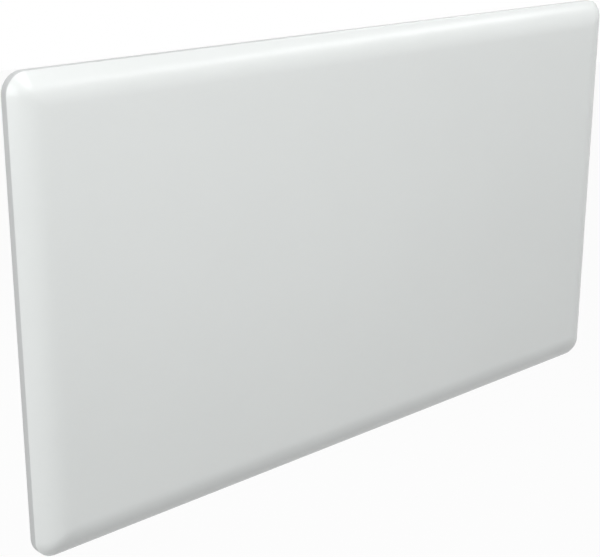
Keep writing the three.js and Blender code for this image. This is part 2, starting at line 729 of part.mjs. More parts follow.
function terminalBlock() {
  const { x, z } = BLOCK_SIZE;
  const body = box(wiringX - x / 2, wiringX + x / 2, blockFrontY, seatY, blockZ - z / 2, blockZ + z / 2);
  const pockets = [-1, 0, 1].map((place) =>
    cylinder(
      "y",
      blockLaneX(place),
      blockZ,
      BLOCK_POCKET.x,
      blockFrontY - THROUGH,
      blockFrontY + BLOCK_POCKET.y,
    ),
  );
  return cut(body, ...pockets);
}

function cableGland() {
  const top = boxBottomZ - GAP;
  const flangeLow = top - GLAND_FLANGE_SHEET;
  const snoutLow = flangeLow - GLAND_SNOUT_LENGTH;
  const neckTop = top + GLAND_NECK_LENGTH;
  const round = (radius, from, to) => cylinder("z", wiringX, glandY, radius, from, to);
  return cut(
    join(
      round(GLAND_NECK, flangeLow, neckTop),
      round(GLAND_FLANGE, flangeLow, top),
      round(GLAND_SNOUT, snoutLow, top),
    ),
    bore("z", wiringX, glandY, GLAND_BORE, snoutLow, neckTop),
  );
}

function glandNut() {
  const low = floorZ + GAP;
  const high = low + NUT_HEIGHT;
  return cut(
    prism("z", circle(wiringX, glandY, NUT_RADIUS, NUT_SIDES), low, high),
    bore("z", wiringX, glandY, GLAND_NECK + GAP, low, high),
  );
}

// A round-headed screw along Y: its head outside the plane `face`, its shank on the `into` side.
function screw(x, z, face, into) {
  const underHead = face - into * GAP;
  const top = underHead - into * SCREW_HEAD;
  return join(
    cylinder("y", x, z, SCREW_HEAD_RADIUS, underHead, top),
    cylinder("y", x, z, SCREW_RADIUS, top, face + into * SCREW_LENGTH),
  );
}

// A round wire along a smooth curve through its points.
function wire(points) {
  const path = new THREE.CatmullRomCurve3(points.map((p) => new THREE.Vector3(...p)), false, "centripetal");
  const steps = Math.ceil(path.getLength() / WIRE_STEP);
  const section = circle(0, 0, WIRE_RADIUS, WIRE_SIDES);
  return solidOf(new THREE.ExtrudeGeometry(section, { steps, extrudePath: path, bevelEnabled: false }));
}

// Both ends of a wire are straight: off a pole of the terminal block, a tab, or the control board.
function fromBlock(place) {
  const z = blockZ + BLOCK_SIZE.z / 2 + GAP;
  return [0, WIRE_LEAD].map((rise) => [blockLaneX(place), (seatY + blockFrontY) / 2, z + rise]);
}

function fromCutout(side) {
  const y = cutoutY - CUTOUT_HEIGHT - TAB_REACH - GAP;
  return [0, WIRE_LEAD].map((reach) => [cutoutX + side * CUTOUT_TAB, y - reach, cutoutZ]);
}

function fromTerminal(side) {
  const x = (side < 0 ? rodEnds[0] : rodEnds[1]) + side * (TERMINAL_LENGTH / 2);
  return [GAP, WIRE_LEAD].map((rise) => [x, elementY, elementZ + TERMINAL_TAB + rise]);
}

// Up through the floor of the control housing and round to the back of the board.
function intoHousing(place) {
  const y = controlY + place * WIRE_SPREAD;
  const boardRearX = boxRightX - BOARD_DEPTH - BOARD_SHEET - GAP;
  const floor = controlZ - CONTROL_CUT.y / 2;
  return [
    [boardRearX - 2 * WIRE_LEAD, y, floor - 2 * WIRE_LEAD],
    [boardRearX - 2 * WIRE_LEAD, y, floor + WIRE_LEAD],
    [boardRearX - WIRE_LEAD, y, floor + 2 * WIRE_LEAD],
    [boardRearX, y, floor + 2 * WIRE_LEAD],
  ];
}

const throughPartition = (hole) => [-WIRE_CLEAR, WIRE_CLEAR].map((side) => [partitionX + side, ...hole]);

function wires() {
  const belowHangerZ = elementZ - HANGER_HEIGHT / 2 - WIRE_CLEAR;
  const belowFinsZ = belowHangerZ - WIRE_CLEAR;
  const intoEarth = [WIRE_LEAD, 0].map((fall) => [
    wiringX,
    seatY - WIRE_RADIUS,
    earthZ - SCREW_HEAD_RADIUS - 2 * GAP - fall,
  ]);
  return {
    supply_live_wire: wire([...fromBlock(1), ...intoHousing(1)]),
    supply_neutral_wire: wire([...fromBlock(0), ...intoHousing(0)]),
    element_live_wire: wire([
      ...intoHousing(-1).reverse(),
      [blockLaneX(-1), liveHole[0], liveHole[1] + 2 * WIRE_BOW],
      ...throughPartition(liveHole).reverse(),
      ...fromCutout(1).reverse(),
    ]),
    element_link_wire: wire([
      ...fromCutout(-1),
      [cutoutX - WIRE_CLEAR, elementY - WIRE_BOW, cutoutZ - WIRE_BOW],
      [cutoutX + WIRE_BOW, elementY - WIRE_BOW, cutoutZ - WIRE_BOW - WIRE_LEAD],
      [hangerRightX - WIRE_CLEAR, elementY - WIRE_CLEAR, elementZ + HANGER_HEIGHT / 2 + WIRE_BOW],
      ...fromTerminal(1).reverse(),
    ]),
    element_neutral_wire: wire([
      ...fromTerminal(-1),
      [pinEnds[0] - WIRE_CLEAR, elementY - WIRE_CLEAR, elementZ + TERMINAL_TAB],
      [pinEnds[0] - WIRE_CLEAR, elementY - WIRE_CLEAR, elementZ - WIRE_BOW],
      [hangerLeftX - WIRE_CLEAR, elementY, belowHangerZ],
      [elementLeftX + WIRE_EASE, elementY, belowFinsZ],
      [elementRightX - WIRE_EASE, elementY, belowFinsZ],
      [hangerRightX + WIRE_CLEAR, elementY, belowHangerZ],
      [partitionX - 2 * WIRE_CLEAR, neutralHole[0], neutralHole[1] - WIRE_BOW],
      ...throughPartition(neutralHole),
      ...fromBlock(-1).reverse(),
    ]),
    earth_wire: wire([...fromBlock(EARTH_LANE), ...intoEarth]),
  };
}

// ---------------------------------------------------------------- control unit
// Built about the middle of its opening in the side: x is 0 on the side's outer face and grows outwards.

const fasciaFace = GAP + FASCIA_SHEET;
const bezelFace = fasciaFace + GAP + BEZEL_SHEET;
const boardFace = -BOARD_DEPTH;
const boardRear = boardFace - BOARD_SHEET;
const knobBase = fasciaFace + GAP;
const knobTop = knobBase + KNOB_HEIGHT;
const rockerPin = fasciaFace - PIN_SETBACK;
const cutSize = [CONTROL_CUT.x, CONTROL_CUT.y];

// A rounded rectangle about the unit's middle, each size grown by `extra`.
const plateShape = ([width, height], extra, corner, rise = 0) =>
  roundedRectangle(0, rise, width + extra, height + extra, corner);

function fascia() {
  const switchSize = [SWITCH_CUT.x, SWITCH_CUT.y];
  const plate = prism("x", plateShape(cutSize, 2 * FASCIA_LAP, FASCIA_CORNER), GAP, fasciaFace);
  const skirt = cut(
    prism("x", plateShape(cutSize, -2 * GAP, CONTROL_CORNER), -FASCIA_SKIRT, fasciaFace),
    prism(
      "x",
      plateShape(cutSize, -2 * GAP - 2 * FASCIA_SKIRT_WALL, CONTROL_CORNER - FASCIA_SKIRT_WALL),
      -FASCIA_SKIRT - THROUGH,
      GAP,
    ),
  );
  const through = (shape) => prism("x", shape, -THROUGH, fasciaFace + THROUGH);
  const vents = [-1, 0, 1].map((place) => through(slot(0, -VENT_DROP + place * VENT_PITCH, VENT.x, VENT.y)));
  return cut(
    join(plate, skirt),
    through(circle(0, KNOB_RISE, SHAFT_RADIUS + GAP)),
    through(circle(0, 0, LENS_RADIUS + GAP)),
    through(plateShape(switchSize, 2 * GAP, SWITCH_CORNER, -SWITCH_DROP)),
    ...vents,
  );
}

function controlHousing() {
  const mouth = -SHEET - GAP;
  const floor = -CONTROL_CUT.y / 2;
  const exitX = boardRear - GAP;
  return cut(
    prism("x", plateShape(cutSize, 2 * HOUSING_WALL, CONTROL_CORNER), mouth - HOUSING_DEPTH, mouth),
    prism("x", plateShape(cutSize, 0, CONTROL_CORNER), mouth - HOUSING_DEPTH + HOUSING_WALL, mouth + THROUGH),
    box(
      exitX - WIRE_EXIT.x,
      exitX,
      -WIRE_EXIT.y / 2,
      WIRE_EXIT.y / 2,
      floor - HOUSING_WALL - THROUGH,
      floor + THROUGH,
    ),
  );
}

const controlBoard = () =>
  prism("x", plateShape(cutSize, -2 * GAP, CONTROL_CORNER), boardRear, boardFace);

function relay() {
  const { x, y, z } = RELAY_SIZE;
  const face = boardRear - GAP;
  return box(face - x, face, -y / 2, y / 2, -z / 2, z / 2);
}

function potentiometer() {
  const rear = boardFace + GAP;
  const front = rear + POT_HEIGHT;
  return cut(
    cylinder("x", 0, KNOB_RISE, POT_RADIUS, rear, front),
    cylinder("x", 0, KNOB_RISE, SHAFT_RADIUS + GAP, rear + POT_FLOOR, front + THROUGH),
  );
}

const knobShaft = () =>
  cylinder("x", 0, KNOB_RISE, SHAFT_RADIUS, boardFace + POT_FLOOR + 2 * GAP, knobTop - KNOB_CAP - GAP);

function thermostatKnob() {
  const pointerTop = KNOB_RISE + KNOB_RADIUS - POINTER_INSET;
  return cut(
    prism("x", circle(0, KNOB_RISE, KNOB_RADIUS, KNOB_STEPS), knobBase, knobTop),
    cylinder("x", 0, KNOB_RISE, SHAFT_RADIUS + GAP, knobBase - THROUGH, knobTop - KNOB_CAP),
    box(
      knobTop - POINTER.x,
      knobTop + THROUGH,
      -POINTER.y / 2,
      POINTER.y / 2,
      pointerTop - POINTER.z,
      pointerTop,
    ),
  );
}

const indicatorLens = () => cylinder("x", 0, 0, LENS_RADIUS, -FASCIA_SKIRT, fasciaFace + LENS_PROUD);

function roomSensor() {
  return join(
    cylinder("x", 0, -SENSOR_DROP, SENSOR_RADIUS, SENSOR_REACH.x, SENSOR_REACH.y),
    cylinder("x", 0, -SENSOR_DROP, SENSOR_LEG, boardFace + GAP, SENSOR_REACH.y),
  );
}

function switchBody() {
  const size = [SWITCH_CUT.x, SWITCH_CUT.y];
  const shape = (extra) => plateShape(size, extra, SWITCH_CORNER, -SWITCH_DROP);
  const tab = (place) => {
    const z = place - SWITCH_DROP;
    const [low, high] = [z - TAB_SHEET / 2, z + TAB_SHEET / 2];
    return box(-SWITCH_DEPTH - TAB_REACH, 0, -TAB_WIDTH / 2, TAB_WIDTH / 2, low, high);
  };
  return join(
    cut(
      join(
        prism("x", shape(0), -SWITCH_DEPTH, bezelFace),
        prism("x", shape(2 * BEZEL_LAP), fasciaFace + GAP, bezelFace),
      ),
      prism("x", shape(-2 * SWITCH_WALL), -SWITCH_DEPTH + SWITCH_FLOOR, bezelFace + THROUGH),
    ),
    ...[-SWITCH_TAB, SWITCH_TAB].map((place) =>
      tab(place).intersect(prism("x", shape(0), -SWITCH_DEPTH - TAB_REACH, -SWITCH_DEPTH + SWITCH_FLOOR / 2)),
    ),
  );
}

// A shallow roof-shaped key, modelled about the pin across Y that it rocks on.
function rocker() {
  const half = SWITCH_CUT.y / 2 - SWITCH_WALL - ROCKER_PLAY;
  const halfWidth = SWITCH_CUT.x / 2 - SWITCH_WALL - GAP;
  const ridge = bezelFace - rockerPin + ROCKER_PROUD;
  const valley = ridge - half * Math.tan(ROCKER_TURN / 2);
  const profile = polygon([
    [-ROCKER_ROOT.x, -ROCKER_ROOT.y],
    [valley - ROCKER_SKIRT, -half],
    [ridge - ROCKER_LIP, -half],
    [valley, 0],
    [ridge - ROCKER_LIP, half],
    [valley - ROCKER_SKIRT, half],
    [-ROCKER_ROOT.x, ROCKER_ROOT.y],
  ]);
  const geometry = new THREE.ExtrudeGeometry(profile, { depth: 2 * halfWidth, bevelEnabled: false });
  geometry.rotateX(Math.PI / 2);
  geometry.translate(0, halfWidth, 0);
  return solidOf(geometry);
}

// ---------------------------------------------------------------- wall bracket

// Section of a hat channel in XY, its feet on the wall and its web towards the heater.
function hatSection() {
  const half = ARM_WEB / 2;
  const inner = half - ARM_SHEET;
  const end = half + ARM_FOOT;
  const right = [
    [inner, webBackY],
    [inner, 0],
    [end, 0],
    [end, -ARM_SHEET],
    [half, -ARM_SHEET],
    [half, webFrontY],
  ];
  const left = right.map(([x, y]) => [-x, y]).reverse();
  return polygon([...right, ...left].reverse());
}

// A hat-section arm with a ledge and an upturned tongue at its foot and a flat tab at its head, about x = 0.
function arm() {
  const half = ARM_WEB / 2;
  const plate = (width, y0, y1, z1) => box(-width / 2, width / 2, y0, y1, ledgeLowZ, z1);
  const footX = half + ARM_FOOT / 2;
  const slotZ = channelTopZ - FOOT_SLOT_DROP;
  const footSlots = [-1, 1].flatMap((side) =>
    [-slotZ, slotZ].map((z) =>
      prism("y", slot(side * footX, z, WALL_SLOT.y, WALL_SLOT.x), -ARM_SHEET - THROUGH, THROUGH),
    ),
  );
  return cut(
    join(
      prism("z", hatSection(), ledgeLowZ, channelTopZ),
      plate(ARM_WEB, webFrontY, webBackY, boxTopZ - TAB_DROP),
      plate(LEDGE_WIDTH, tongueFrontY, webBackY, ledgeTopZ),
      plate(TONGUE_WIDTH, tongueFrontY, tongueRearY, ledgeTopZ + TONGUE_HEIGHT),
    ),
    bore("y", 0, lockZ, LOCK_SHAFT + GAP, webFrontY, webBackY),
    ...footSlots,
  );
}

// A strip on the wall between the arms, joggled over their inner feet.
function crossRail() {
  const footEdge = armX - ARM_WEB / 2 - ARM_FOOT;
  const end = armX - ARM_WEB / 2 - GAP;
  const lapY = -ARM_SHEET - GAP;
  const flat = footEdge - RAIL_JOGGLE;
  const bends = [
    [-end, lapY],
    [-flat - THROUGH, lapY],
    [-flat, 0],
    [flat, 0],
    [flat + THROUGH, lapY],
    [end, lapY],
  ];
  const strip = prism("z", foldedSheet(bends, -RAIL_SHEET), -RAIL_HEIGHT / 2, RAIL_HEIGHT / 2);
  const slots = [-RAIL_SLOT_X, RAIL_SLOT_X].map((x) =>
    prism("y", slot(x, 0, WALL_SLOT.x, WALL_SLOT.y), -RAIL_SHEET - THROUGH, THROUGH),
  );
  return cut(strip, ...slots);
}

// ---------------------------------------------------------------- twist locks, about their axis

const hubFront = webBackY + GAP;
const hubRear = hubFront + LOCK_HUB_HEIGHT;

function lockBolt() {
  const headRear = boxBackInnerY - LOCK_REACH;
  const { x, y, z } = LOCK_HEAD;
  return join(
    box(-x / 2, x / 2, headRear - y, headRear, -z / 2, z / 2),
    cylinder("y", 0, 0, LOCK_TAIL, headRear, hubRear - LOCK_CAP - GAP),
    cylinder("y", 0, 0, LOCK_SHAFT, headRear - y, webBackY),
    cylinder("y", 0, 0, LOCK_COLLAR, boxBackY + GAP, webFrontY - GAP),
  );
}

function lockLever() {
  const { x, y } = LOCK_LEVER;
  return cut(
    join(
      cylinder("y", 0, 0, LOCK_HUB, hubFront, hubRear),
      prism("y", roundedRectangle(0, y / 2, x, y, PAD_CORNER), hubFront + LOCK_LEVER_STEP, hubRear),
    ),
    cylinder("y", 0, 0, LOCK_TAIL + GAP, hubFront - THROUGH, hubRear - LOCK_CAP),
  );
}

const pad = () =>
  prism("y", roundedRectangle(0, 0, PAD_SIZE.x, PAD_SIZE.y, PAD_CORNER), boxBackY + GAP, webFrontY - GAP);

// ---------------------------------------------------------------- materials

const finish = (color, roughness, metalness = 0) =>
  new THREE.MeshStandardMaterial({ color, roughness, metalness });

const whitePaint = finish(0xe4e8e6, 0.35);
const greyPaint = finish(0xcccdcd, 0.6);
const zinc = finish(0xb4b8ba, 0.38, 0.9);
const galvanised = finish(0xa9adaf, 0.45, 0.85);
const aluminium = finish(0xc9ccce, 0.35, 0.9);
const sheath = finish(0x6f7170, 0.4, 0.9);
const ceramic = finish(0xe6e2d6, 0.6);
const brass = finish(0xb99a55, 0.35, 0.9);
const whitePlastic = finish(0xeff0ee, 0.45);
const blackPlastic = finish(0x303032, 0.5);
const greyPlastic = finish(0x8b8f91, 0.55);
const boardGreen = finish(0x1f5a3a, 0.5);
const amberLens = finish(0xd98a2b, 0.15);
const rubber = finish(0x2a2b2c, 0.85);
const brownWire = finish(0x6b3d22, 0.55);
const blueWire = finish(0x2d5fa8, 0.55);
const greenWire = finish(0x7c9a2c, 0.55);
const screwSteel = finish(0xaeb1b3, 0.3, 0.95);

// ---------------------------------------------------------------- assembly

function piece(name, solid, material) {
  const mesh = new THREE.Mesh(geometryOf(solid), material.clone());
  mesh.name = name;
  return mesh;
}

function placed(object, x, y, z) {
  object.position.set(x, y, z);
  return object;
}

function casingGroup() {
  const group = new THREE.Group();
  group.add(
    piece("front_panel", frontPanel(), whitePaint),
    piece("rear_casing", rearCasing(), greyPaint),
    piece("outlet_grille", grille(outlet, roofZ - GAP - GRILLE_SHEET), greyPaint),
    piece("inlet_grille", grille(inlet, floorZ + GAP), greyPaint),
    piece("rear_heat_shield", rearShield(), galvanised),
    piece("front_heat_shield", frontShield(), galvanised),
    piece("control_partition", partition(), galvanised),
  );
  frontScrews.forEach(([x, z], i) =>
    group.add(piece(`front_screw_${i + 1}`, screw(x, z, stepY, -1), screwSteel)),
  );
  return group;
}

function elementGroup() {
  const group = new THREE.Group();
  group.add(
    piece("element_fins", elementFins(), aluminium),
    piece("heating_rod", heatingRod(), sheath),
  );
  for (const [name, side] of [
    ["left", -1],
    ["right", 1],
  ]) {
    group.add(
      piece(`${name}_element_hanger`, hanger(side), galvanised),
      piece(`${name}_ceramic_bush`, bush(side), ceramic),
      piece(`${name}_element_terminal`, terminal(side), brass),
    );
  }
  hangerScrews.forEach(([x, z], i) =>
    group.add(piece(`hanger_screw_${i + 1}`, screw(x, z, boxBackY, -1), screwSteel)),
  );
  return group;
}

function electricsGroup() {
  const group = new THREE.Group();
  group.add(
    piece("overheat_cutout", overheatCutout(), ceramic),
    piece("terminal_block", terminalBlock(), whitePlastic),
    piece("cable_gland", cableGland(), greyPlastic),
    piece("gland_nut", glandNut(), greyPlastic),
    piece("earth_screw", screw(wiringX, earthZ, boxBackInnerY, 1), brass),
  );
  const insulation = {
    supply_live_wire: brownWire,
    supply_neutral_wire: blueWire,
    element_live_wire: brownWire,
    element_link_wire: brownWire,
    element_neutral_wire: blueWire,
    earth_wire: greenWire,
  };
  for (const [name, solid] of Object.entries(wires())) {
    group.add(piece(name, solid, insulation[name]));
  }
  return group;
}

function controlGroup() {
  const group = placed(new THREE.Group(), boxRightX, controlY, controlZ);
  group.add(
    piece("control_fascia", fascia(), whitePlastic),
    piece("control_housing", controlHousing(), greyPlastic),
    piece("control_board", controlBoard(), boardGreen),
    piece("power_relay", relay(), blackPlastic),
    piece("potentiometer", potentiometer(), greyPlastic),
    piece("room_sensor", roomSensor(), blackPlastic),
    piece("indicator_lens", indicatorLens(), amberLens),
    piece("switch_body", switchBody(), blackPlastic),
    piece("knob_shaft", knobShaft(), greyPlastic),
    piece("thermostat_knob", thermostatKnob(), whitePlastic),
  );
  const key = placed(piece("power_rocker", rocker(), blackPlastic), rockerPin, 0, -SWITCH_DROP);
  key.rotation.y = ROCKER_TURN / 2;
  group.add(key);
  return group;
}

function bracketGroup() {
  const group = new THREE.Group();
  group.add(piece("cross_rail", crossRail(), zinc));
  for (const [name, x] of [
    ["left", -armX],
    ["right", armX],
  ]) {
    group.add(
      placed(piece(`${name}_arm`, arm(), zinc), x, 0, 0),
      placed(piece(`${name}_lock_bolt`, lockBolt(), zinc), x, 0, lockZ),
      placed(piece(`${name}_lock_lever`, lockLever(), blackPlastic), x, 0, lockZ),
    );
    [boxBottomZ + PAD_RISE, boxTopZ - PAD_DROP].forEach((z, i) =>
      group.add(placed(piece(`${name}_arm_pad_${i + 1}`, pad(), rubber), x, 0, z)),
    );
  }
  return group;
}

const heater = new THREE.Group();
heater.name = "panel_heater";
heater.add(casingGroup(), elementGroup(), electricsGroup(), controlGroup(), bracketGroup());

export default heater;
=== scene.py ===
# The looks of a wall panel convector heater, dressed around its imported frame. +Z is up, +Y points into the
# wall. Meshes are made in millimetres in the heater's own frame, and add_piece() turns them into metres.

import json
import math

import bmesh
import bpy
from mathutils import Matrix, Vector


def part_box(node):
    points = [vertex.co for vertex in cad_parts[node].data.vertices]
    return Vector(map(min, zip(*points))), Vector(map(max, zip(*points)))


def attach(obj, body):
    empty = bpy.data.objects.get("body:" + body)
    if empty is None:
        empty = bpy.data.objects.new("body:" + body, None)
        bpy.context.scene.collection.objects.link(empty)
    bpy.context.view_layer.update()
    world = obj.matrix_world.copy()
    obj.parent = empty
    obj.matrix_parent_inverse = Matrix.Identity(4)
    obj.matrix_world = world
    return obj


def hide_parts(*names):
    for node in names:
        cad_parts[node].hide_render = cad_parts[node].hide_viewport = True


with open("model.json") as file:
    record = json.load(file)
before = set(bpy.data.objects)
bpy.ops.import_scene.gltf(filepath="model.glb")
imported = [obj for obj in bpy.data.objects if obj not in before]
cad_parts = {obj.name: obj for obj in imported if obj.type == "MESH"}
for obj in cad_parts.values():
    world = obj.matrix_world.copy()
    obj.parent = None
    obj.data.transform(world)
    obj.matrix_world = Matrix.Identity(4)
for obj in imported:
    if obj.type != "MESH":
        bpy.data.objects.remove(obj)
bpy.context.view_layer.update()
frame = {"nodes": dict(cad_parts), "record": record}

MM = 0.001
MICRON = 0.000001
RIGHT_ANGLE = math.pi / 2
THROUGH = 1.0  # how far a cutting tool runs past the face it cuts
ALMOST_HALF = 0.499  # of a slot's width, for its round ends
SHARP = 32  # degrees between faces whose edge stays sharp
FRONT_SCREWS = [f"front_screw_{number}" for number in range(1, 7)]
HANGER_SCREWS = [f"hanger_screw_{number}" for number in range(1, 5)]
CONTROLS = ("thermostat_knob", "indicator_lens", "switch_body")

# steps along curves
CORNER_STEPS = 14
LATHE_STEPS = 48
BEND_STEPS = 5
HOLE_STEPS = 24
END_STEPS = 6  # in the corners of slots and small plates
SMALL_STEPS = 4
TINY_STEPS = 2

# ---- sizes, in millimetres

GAP = 0.3  # between two pieces that meet
SMALL_EDGE = 0.3
CHAMFER = 0.2

# front panel
CORNER_RADIUS = 18
SOFT_MITRE = 8  # how softly the rolled sides meet in the corners
ROLL_RADIUS = 36
ROLL_STEPS = 30
EDGE_RADIUS = 0.8  # of the bend from the roll to the crease
EDGE_STEPS = 8
FLAT_MARGIN = 6  # of the first ring inside the flat
SKIN = 0.8
SKIRT_INSET = 1.3
LUG = (8, 13)  # half its width, and its reach from the outline
LUG_BITE = 1.7  # where a lug starts, in the thickness of the skirt
LUG_LIFT = 0.01  # of a lug's face inside the skirt's edge

# rear casing
SHEET = 0.8
BOX_INSET_SIDE = 24.5
BOX_INSET_TOP = 17
BOX_INSET_BOTTOM = 15
BOX_CORNER = 6
BOX_DEPTH = 39
LEAST_CORNER = 0.4
RIM_BEND = 1.8
STEP_BEND = 1.0
BACK_BEND = 2.0
SCREW_HOLE = 2.2
GLAND_HOLE = 8.3
CONTROL_OPENING = (26, 88)
CONTROL_CORNER = 3
LOCK_SLOT = (21.5, 9)
TONGUE_SLOT = (18, 3.8)
SLOT_CORNER = 1

# grilles
GRILLE_LAP = 4
GRILLE_PITCH = 12
GRILLE_SLOT = 8
GRILLE_BORDER = 2
GRILLE_CORNER = 3

# bracket
ARM_SHEET = 1.5
ARM_WEB = 34
ARM_FOOT = 14
ARM_BEND = 1.2
CHANNEL_TOP = 150
TAB_CORNER = 4
LEDGE_WIDTH = 24
LEDGE_SHEET = 1.8
LEDGE_BEND = 3
LEDGE_NECK = (5, 3)  # how many bends above the ledge the strip starts and ends narrowing
TONGUE_WIDTH = 16
TONGUE_RISE = 8  # above the ledge
TONGUE_NECK = (3, 2)  # how many thicknesses behind the tongue the ledge starts and ends narrowing
TONGUE_TIP = 2  # how far its corners are cut
TIP_SHEET = 0.7  # as a share of the ledge's thickness
STRIP_INSET = 0.04  # of the strip inside the faces of the web
LOCK_HOLE = 3.8
WALL_SLOT = (5.6, 14)
FOOT_SLOT_Z = 115
RAIL_SLOT_X = 80
RAIL_BEND = 0.6
JOGGLE_GAP = 3  # from the arm's foot to the joggle
JOGGLE_RUN = 1
PAD_CORNER = 3

# locks
LOCK_SHAFT = 3.5
LOCK_TAIL = 2.5
TAIL_CHAMFER = 0.4
LOCK_COLLAR = 5.5
LOCK_HEAD = (18, 5.5)
HEAD_DEPTH = 3
HEAD_CORNER = 2
HEAD_EDGES = (0.6, 0.4)  # in front and behind
HEAD_BITE = 0.5  # where the shaft starts, in the depth of the head
LOCK_HUB = 8
LEVER_WIDTH = 8
LEVER_CORNER = 3
LEVER_EDGES = (0.4, 0.9)
LEVER_STEP = 1  # of the lever behind the hub's front
LEVER_CAP = 1  # over the end of the tail
TAIL_PLAY = 0.3

# screws
HEAD_HEIGHT = 2.2
HEAD_BEVEL = 0.25
HEAD_FLAT = 0.3  # radius of the flat on its dome
SHANK_RADIUS = 1.9
SHANK_PLAIN = 1  # length without a thread
THREAD_PITCH = 0.7
THREAD = ((0.2, 0.8), (0.6, 1))  # place in a pitch and radius there, as shares
THREAD_END = 0.7  # the same radius at the screw's end
SCREW_STEPS = 32
HEAD_STEPS = 6
RECESS = (3.6, 0.8)  # length and width of one bar of the cross
RECESS_DEPTH = 1.1
RECESS_CORNER = 0.2

# cable gland
GLAND_BORE = 4
GLAND_NECK = 8
GLAND_NECK_EDGE = 0.5
GLAND_FLANGE = 11
FLANGE_HEIGHT = 3
FLANGE_LOW_EDGE = 0.6
FLANGE_TOP_EDGE = (0.2, 0.5)  # across and along
GLAND_SNOUT = 6.4
GLAND_GROOVE = 5.9  # radius between two ribs
RIB_PITCH = 1.6
RIB = (0.2, 0.8)  # where it starts and ends in a pitch
RIB_GROOVE = (1.0, 1.4)
RIBS_END = 1  # above the snout's end
SNOUT_EDGE = (0.3, 0.6)
MOUTH_EDGE = (0.6, 0.8)
GRIP_FLUTES = 16
GRIP_DEPTH = 0.035  # as a share of the radius
GRIP_REACH = (0.1, 0.4)  # past the flange's low face and below its top
GLAND_STEPS = 96

# control unit
FASCIA_CORNER = 6
FASCIA_EDGE = 1.1
FASCIA_LEAST_CORNER = 1
FASCIA_SKIRT_INSET = 3.8
FASCIA_SKIRT_WALL = 1.5
SHAFT_HOLE = 3.3
LENS_HOLE = 2.3
LENS_DOME = 0.8
DOME_TURNS = (0, 0.3, 0.6, 0.9, 1.2, 1.45)
VENT = (12, 1.4)
VENT_PITCH = 3
VENT_DROP = 38  # of the middle slot below the lens
PRINT_SINK = 0.1  # of printed marks below a face
PRINT_RISE = 0.03
TICKS = 11
TICK_TURN = math.radians(270)
TICK_START = 13.6
TICK_LENGTHS = (0.6, 1.8)  # of the first and the last
TICK_WIDTH = 0.45
TICK_CORNER = 0.1
NUMBER_SIZE = 4
NUMBER_PLACE = (13.2, 13.6)  # to the side of the knob's axis and below it

# knob
COLLAR_HEIGHT = 2.6
COLLAR_ROUND = (0.3, 0.8)
KNOB_NECK = 0.7  # of the fluted body inside the collar
NECK_EDGE = 0.1
KNOB_TAPER = 0.25
KNOB_ROUND = 1.3  # of the edge round its face
KNOB_SIDE_END = 1.5  # below the face
DISH = ((2.4, 0.12), (4, 0.35))  # in from the body and below the face
DISH_FLOOR = (1.5, 0.5)  # radius, and depth below the face
KNOB_STEPS = 240
KNOB_FLUTES = 30
FLUTE_DEPTH = 0.045  # as a share of the radius
FLUTE_END = 1.4  # below the face
FLUTE_POWER = 1.5
KNOB_CAP = 2.5
POINTER = (2, 10, 0.6)
POINTER_INSET = 1
POINTER_CORNER = (0.9, 0.7)  # of its groove and of the line in it
POINTER_PLAY = 0.3
POINTER_LINE = (0.4, 0.05)  # its floor and its face, below the pointer's depth
POINTER_GROOVE = 0.35

# switch
SWITCH_OPENING = (13.6, 21.6)
SWITCH_WALL = 2.5  # from the bezel's edge to the key's well
SWITCH_FLOOR = 4
SWITCH_LAP = 1.5
SWITCH_DEPTH = 16
BEZEL_CORNER = 1.4
BEZEL_TIGHTER = 0.3  # how much a ring's corner shrinks with its inset
BEZEL_LEAST_CORNER = 0.5
BEZEL_EDGE = 0.6
TAB = (5, 0.8)
TAB_Z = 4
TAB_BITE = 1
TAB_CORNER_RADIUS = 0.5
ROCKER_REST = math.radians(8)
PIN_LIFT = 0.1  # of the rocker's pin outside the casing
KEY_LENGTH = 16.8
KEY_WIDTH = 10.4
KEY_ROOT = (2.5, 6)  # depth below the pin, and length there
KEY_CROWN = 6.3
KEY_VALLEY = 5.72
KEY_SKIRT = 4  # below the valley
KEY_POWER = 1.6
KEY_STEPS = 24
KEY_EDGE = ((0.35, 0), (0.1, 0.1), (0, 0.35))
KEY_SHARP = 40
MARK_Z = 4.6
MARK_SINK = 0.3
MARK_RISE = 0.08
BAR = (0.7, 3.4)
BAR_CORNER = 0.3
BAR_STEPS = 3
RING = (1.8, 1.2)

# softened edges of the pieces that keep their solids
SOFT_EDGE = 0.18
SOFT_EDGE_ANGLE = math.radians(40)
SAME_POINT = 0.01


# ---- mesh helpers


def place(axis, a, b, along):
    """A point from two coordinates across an axis and one along it."""
    return {"x": (along, a, b), "y": (a, along, b), "z": (a, b, along)}[axis]


def corners(node):
    """Lowest and highest corner of a node, in millimetres."""
    return tuple([value / MM for value in corner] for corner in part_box(node))


def middle(node):
    low, high = corners(node)
    return [(a + b) / 2 for a, b in zip(low, high)]


def mesh_of(points, faces):
    """A closed mesh with its faces turned outwards."""
    mesh = bpy.data.meshes.new("part")
    mesh.from_pydata(points, [], faces)
    work = bmesh.new()
    work.from_mesh(mesh)
    bmesh.ops.recalc_face_normals(work, faces=work.faces)
    work.to_mesh(mesh)
    work.free()
    mesh.update()
    return mesh


def loft(rings, closed=False):
    """A skin over rings with equal counts. Both ends are capped unless the stack closes on itself."""
    count = len(rings[0])
    points = [point for ring in rings for point in ring]
    faces = []
    for low in range(len(rings) if closed else len(rings) - 1):
        high = (low + 1) % len(rings)
        for i in range(count):
            j = (i + 1) % count
            faces.append((low * count + i, low * count + j, high * count + j, high * count + i))
    if not closed:
        faces.append(tuple(range(count)))
        faces.append(tuple(range((len(rings) - 1) * count, len(rings) * count)))
    return mesh_of(points, faces)


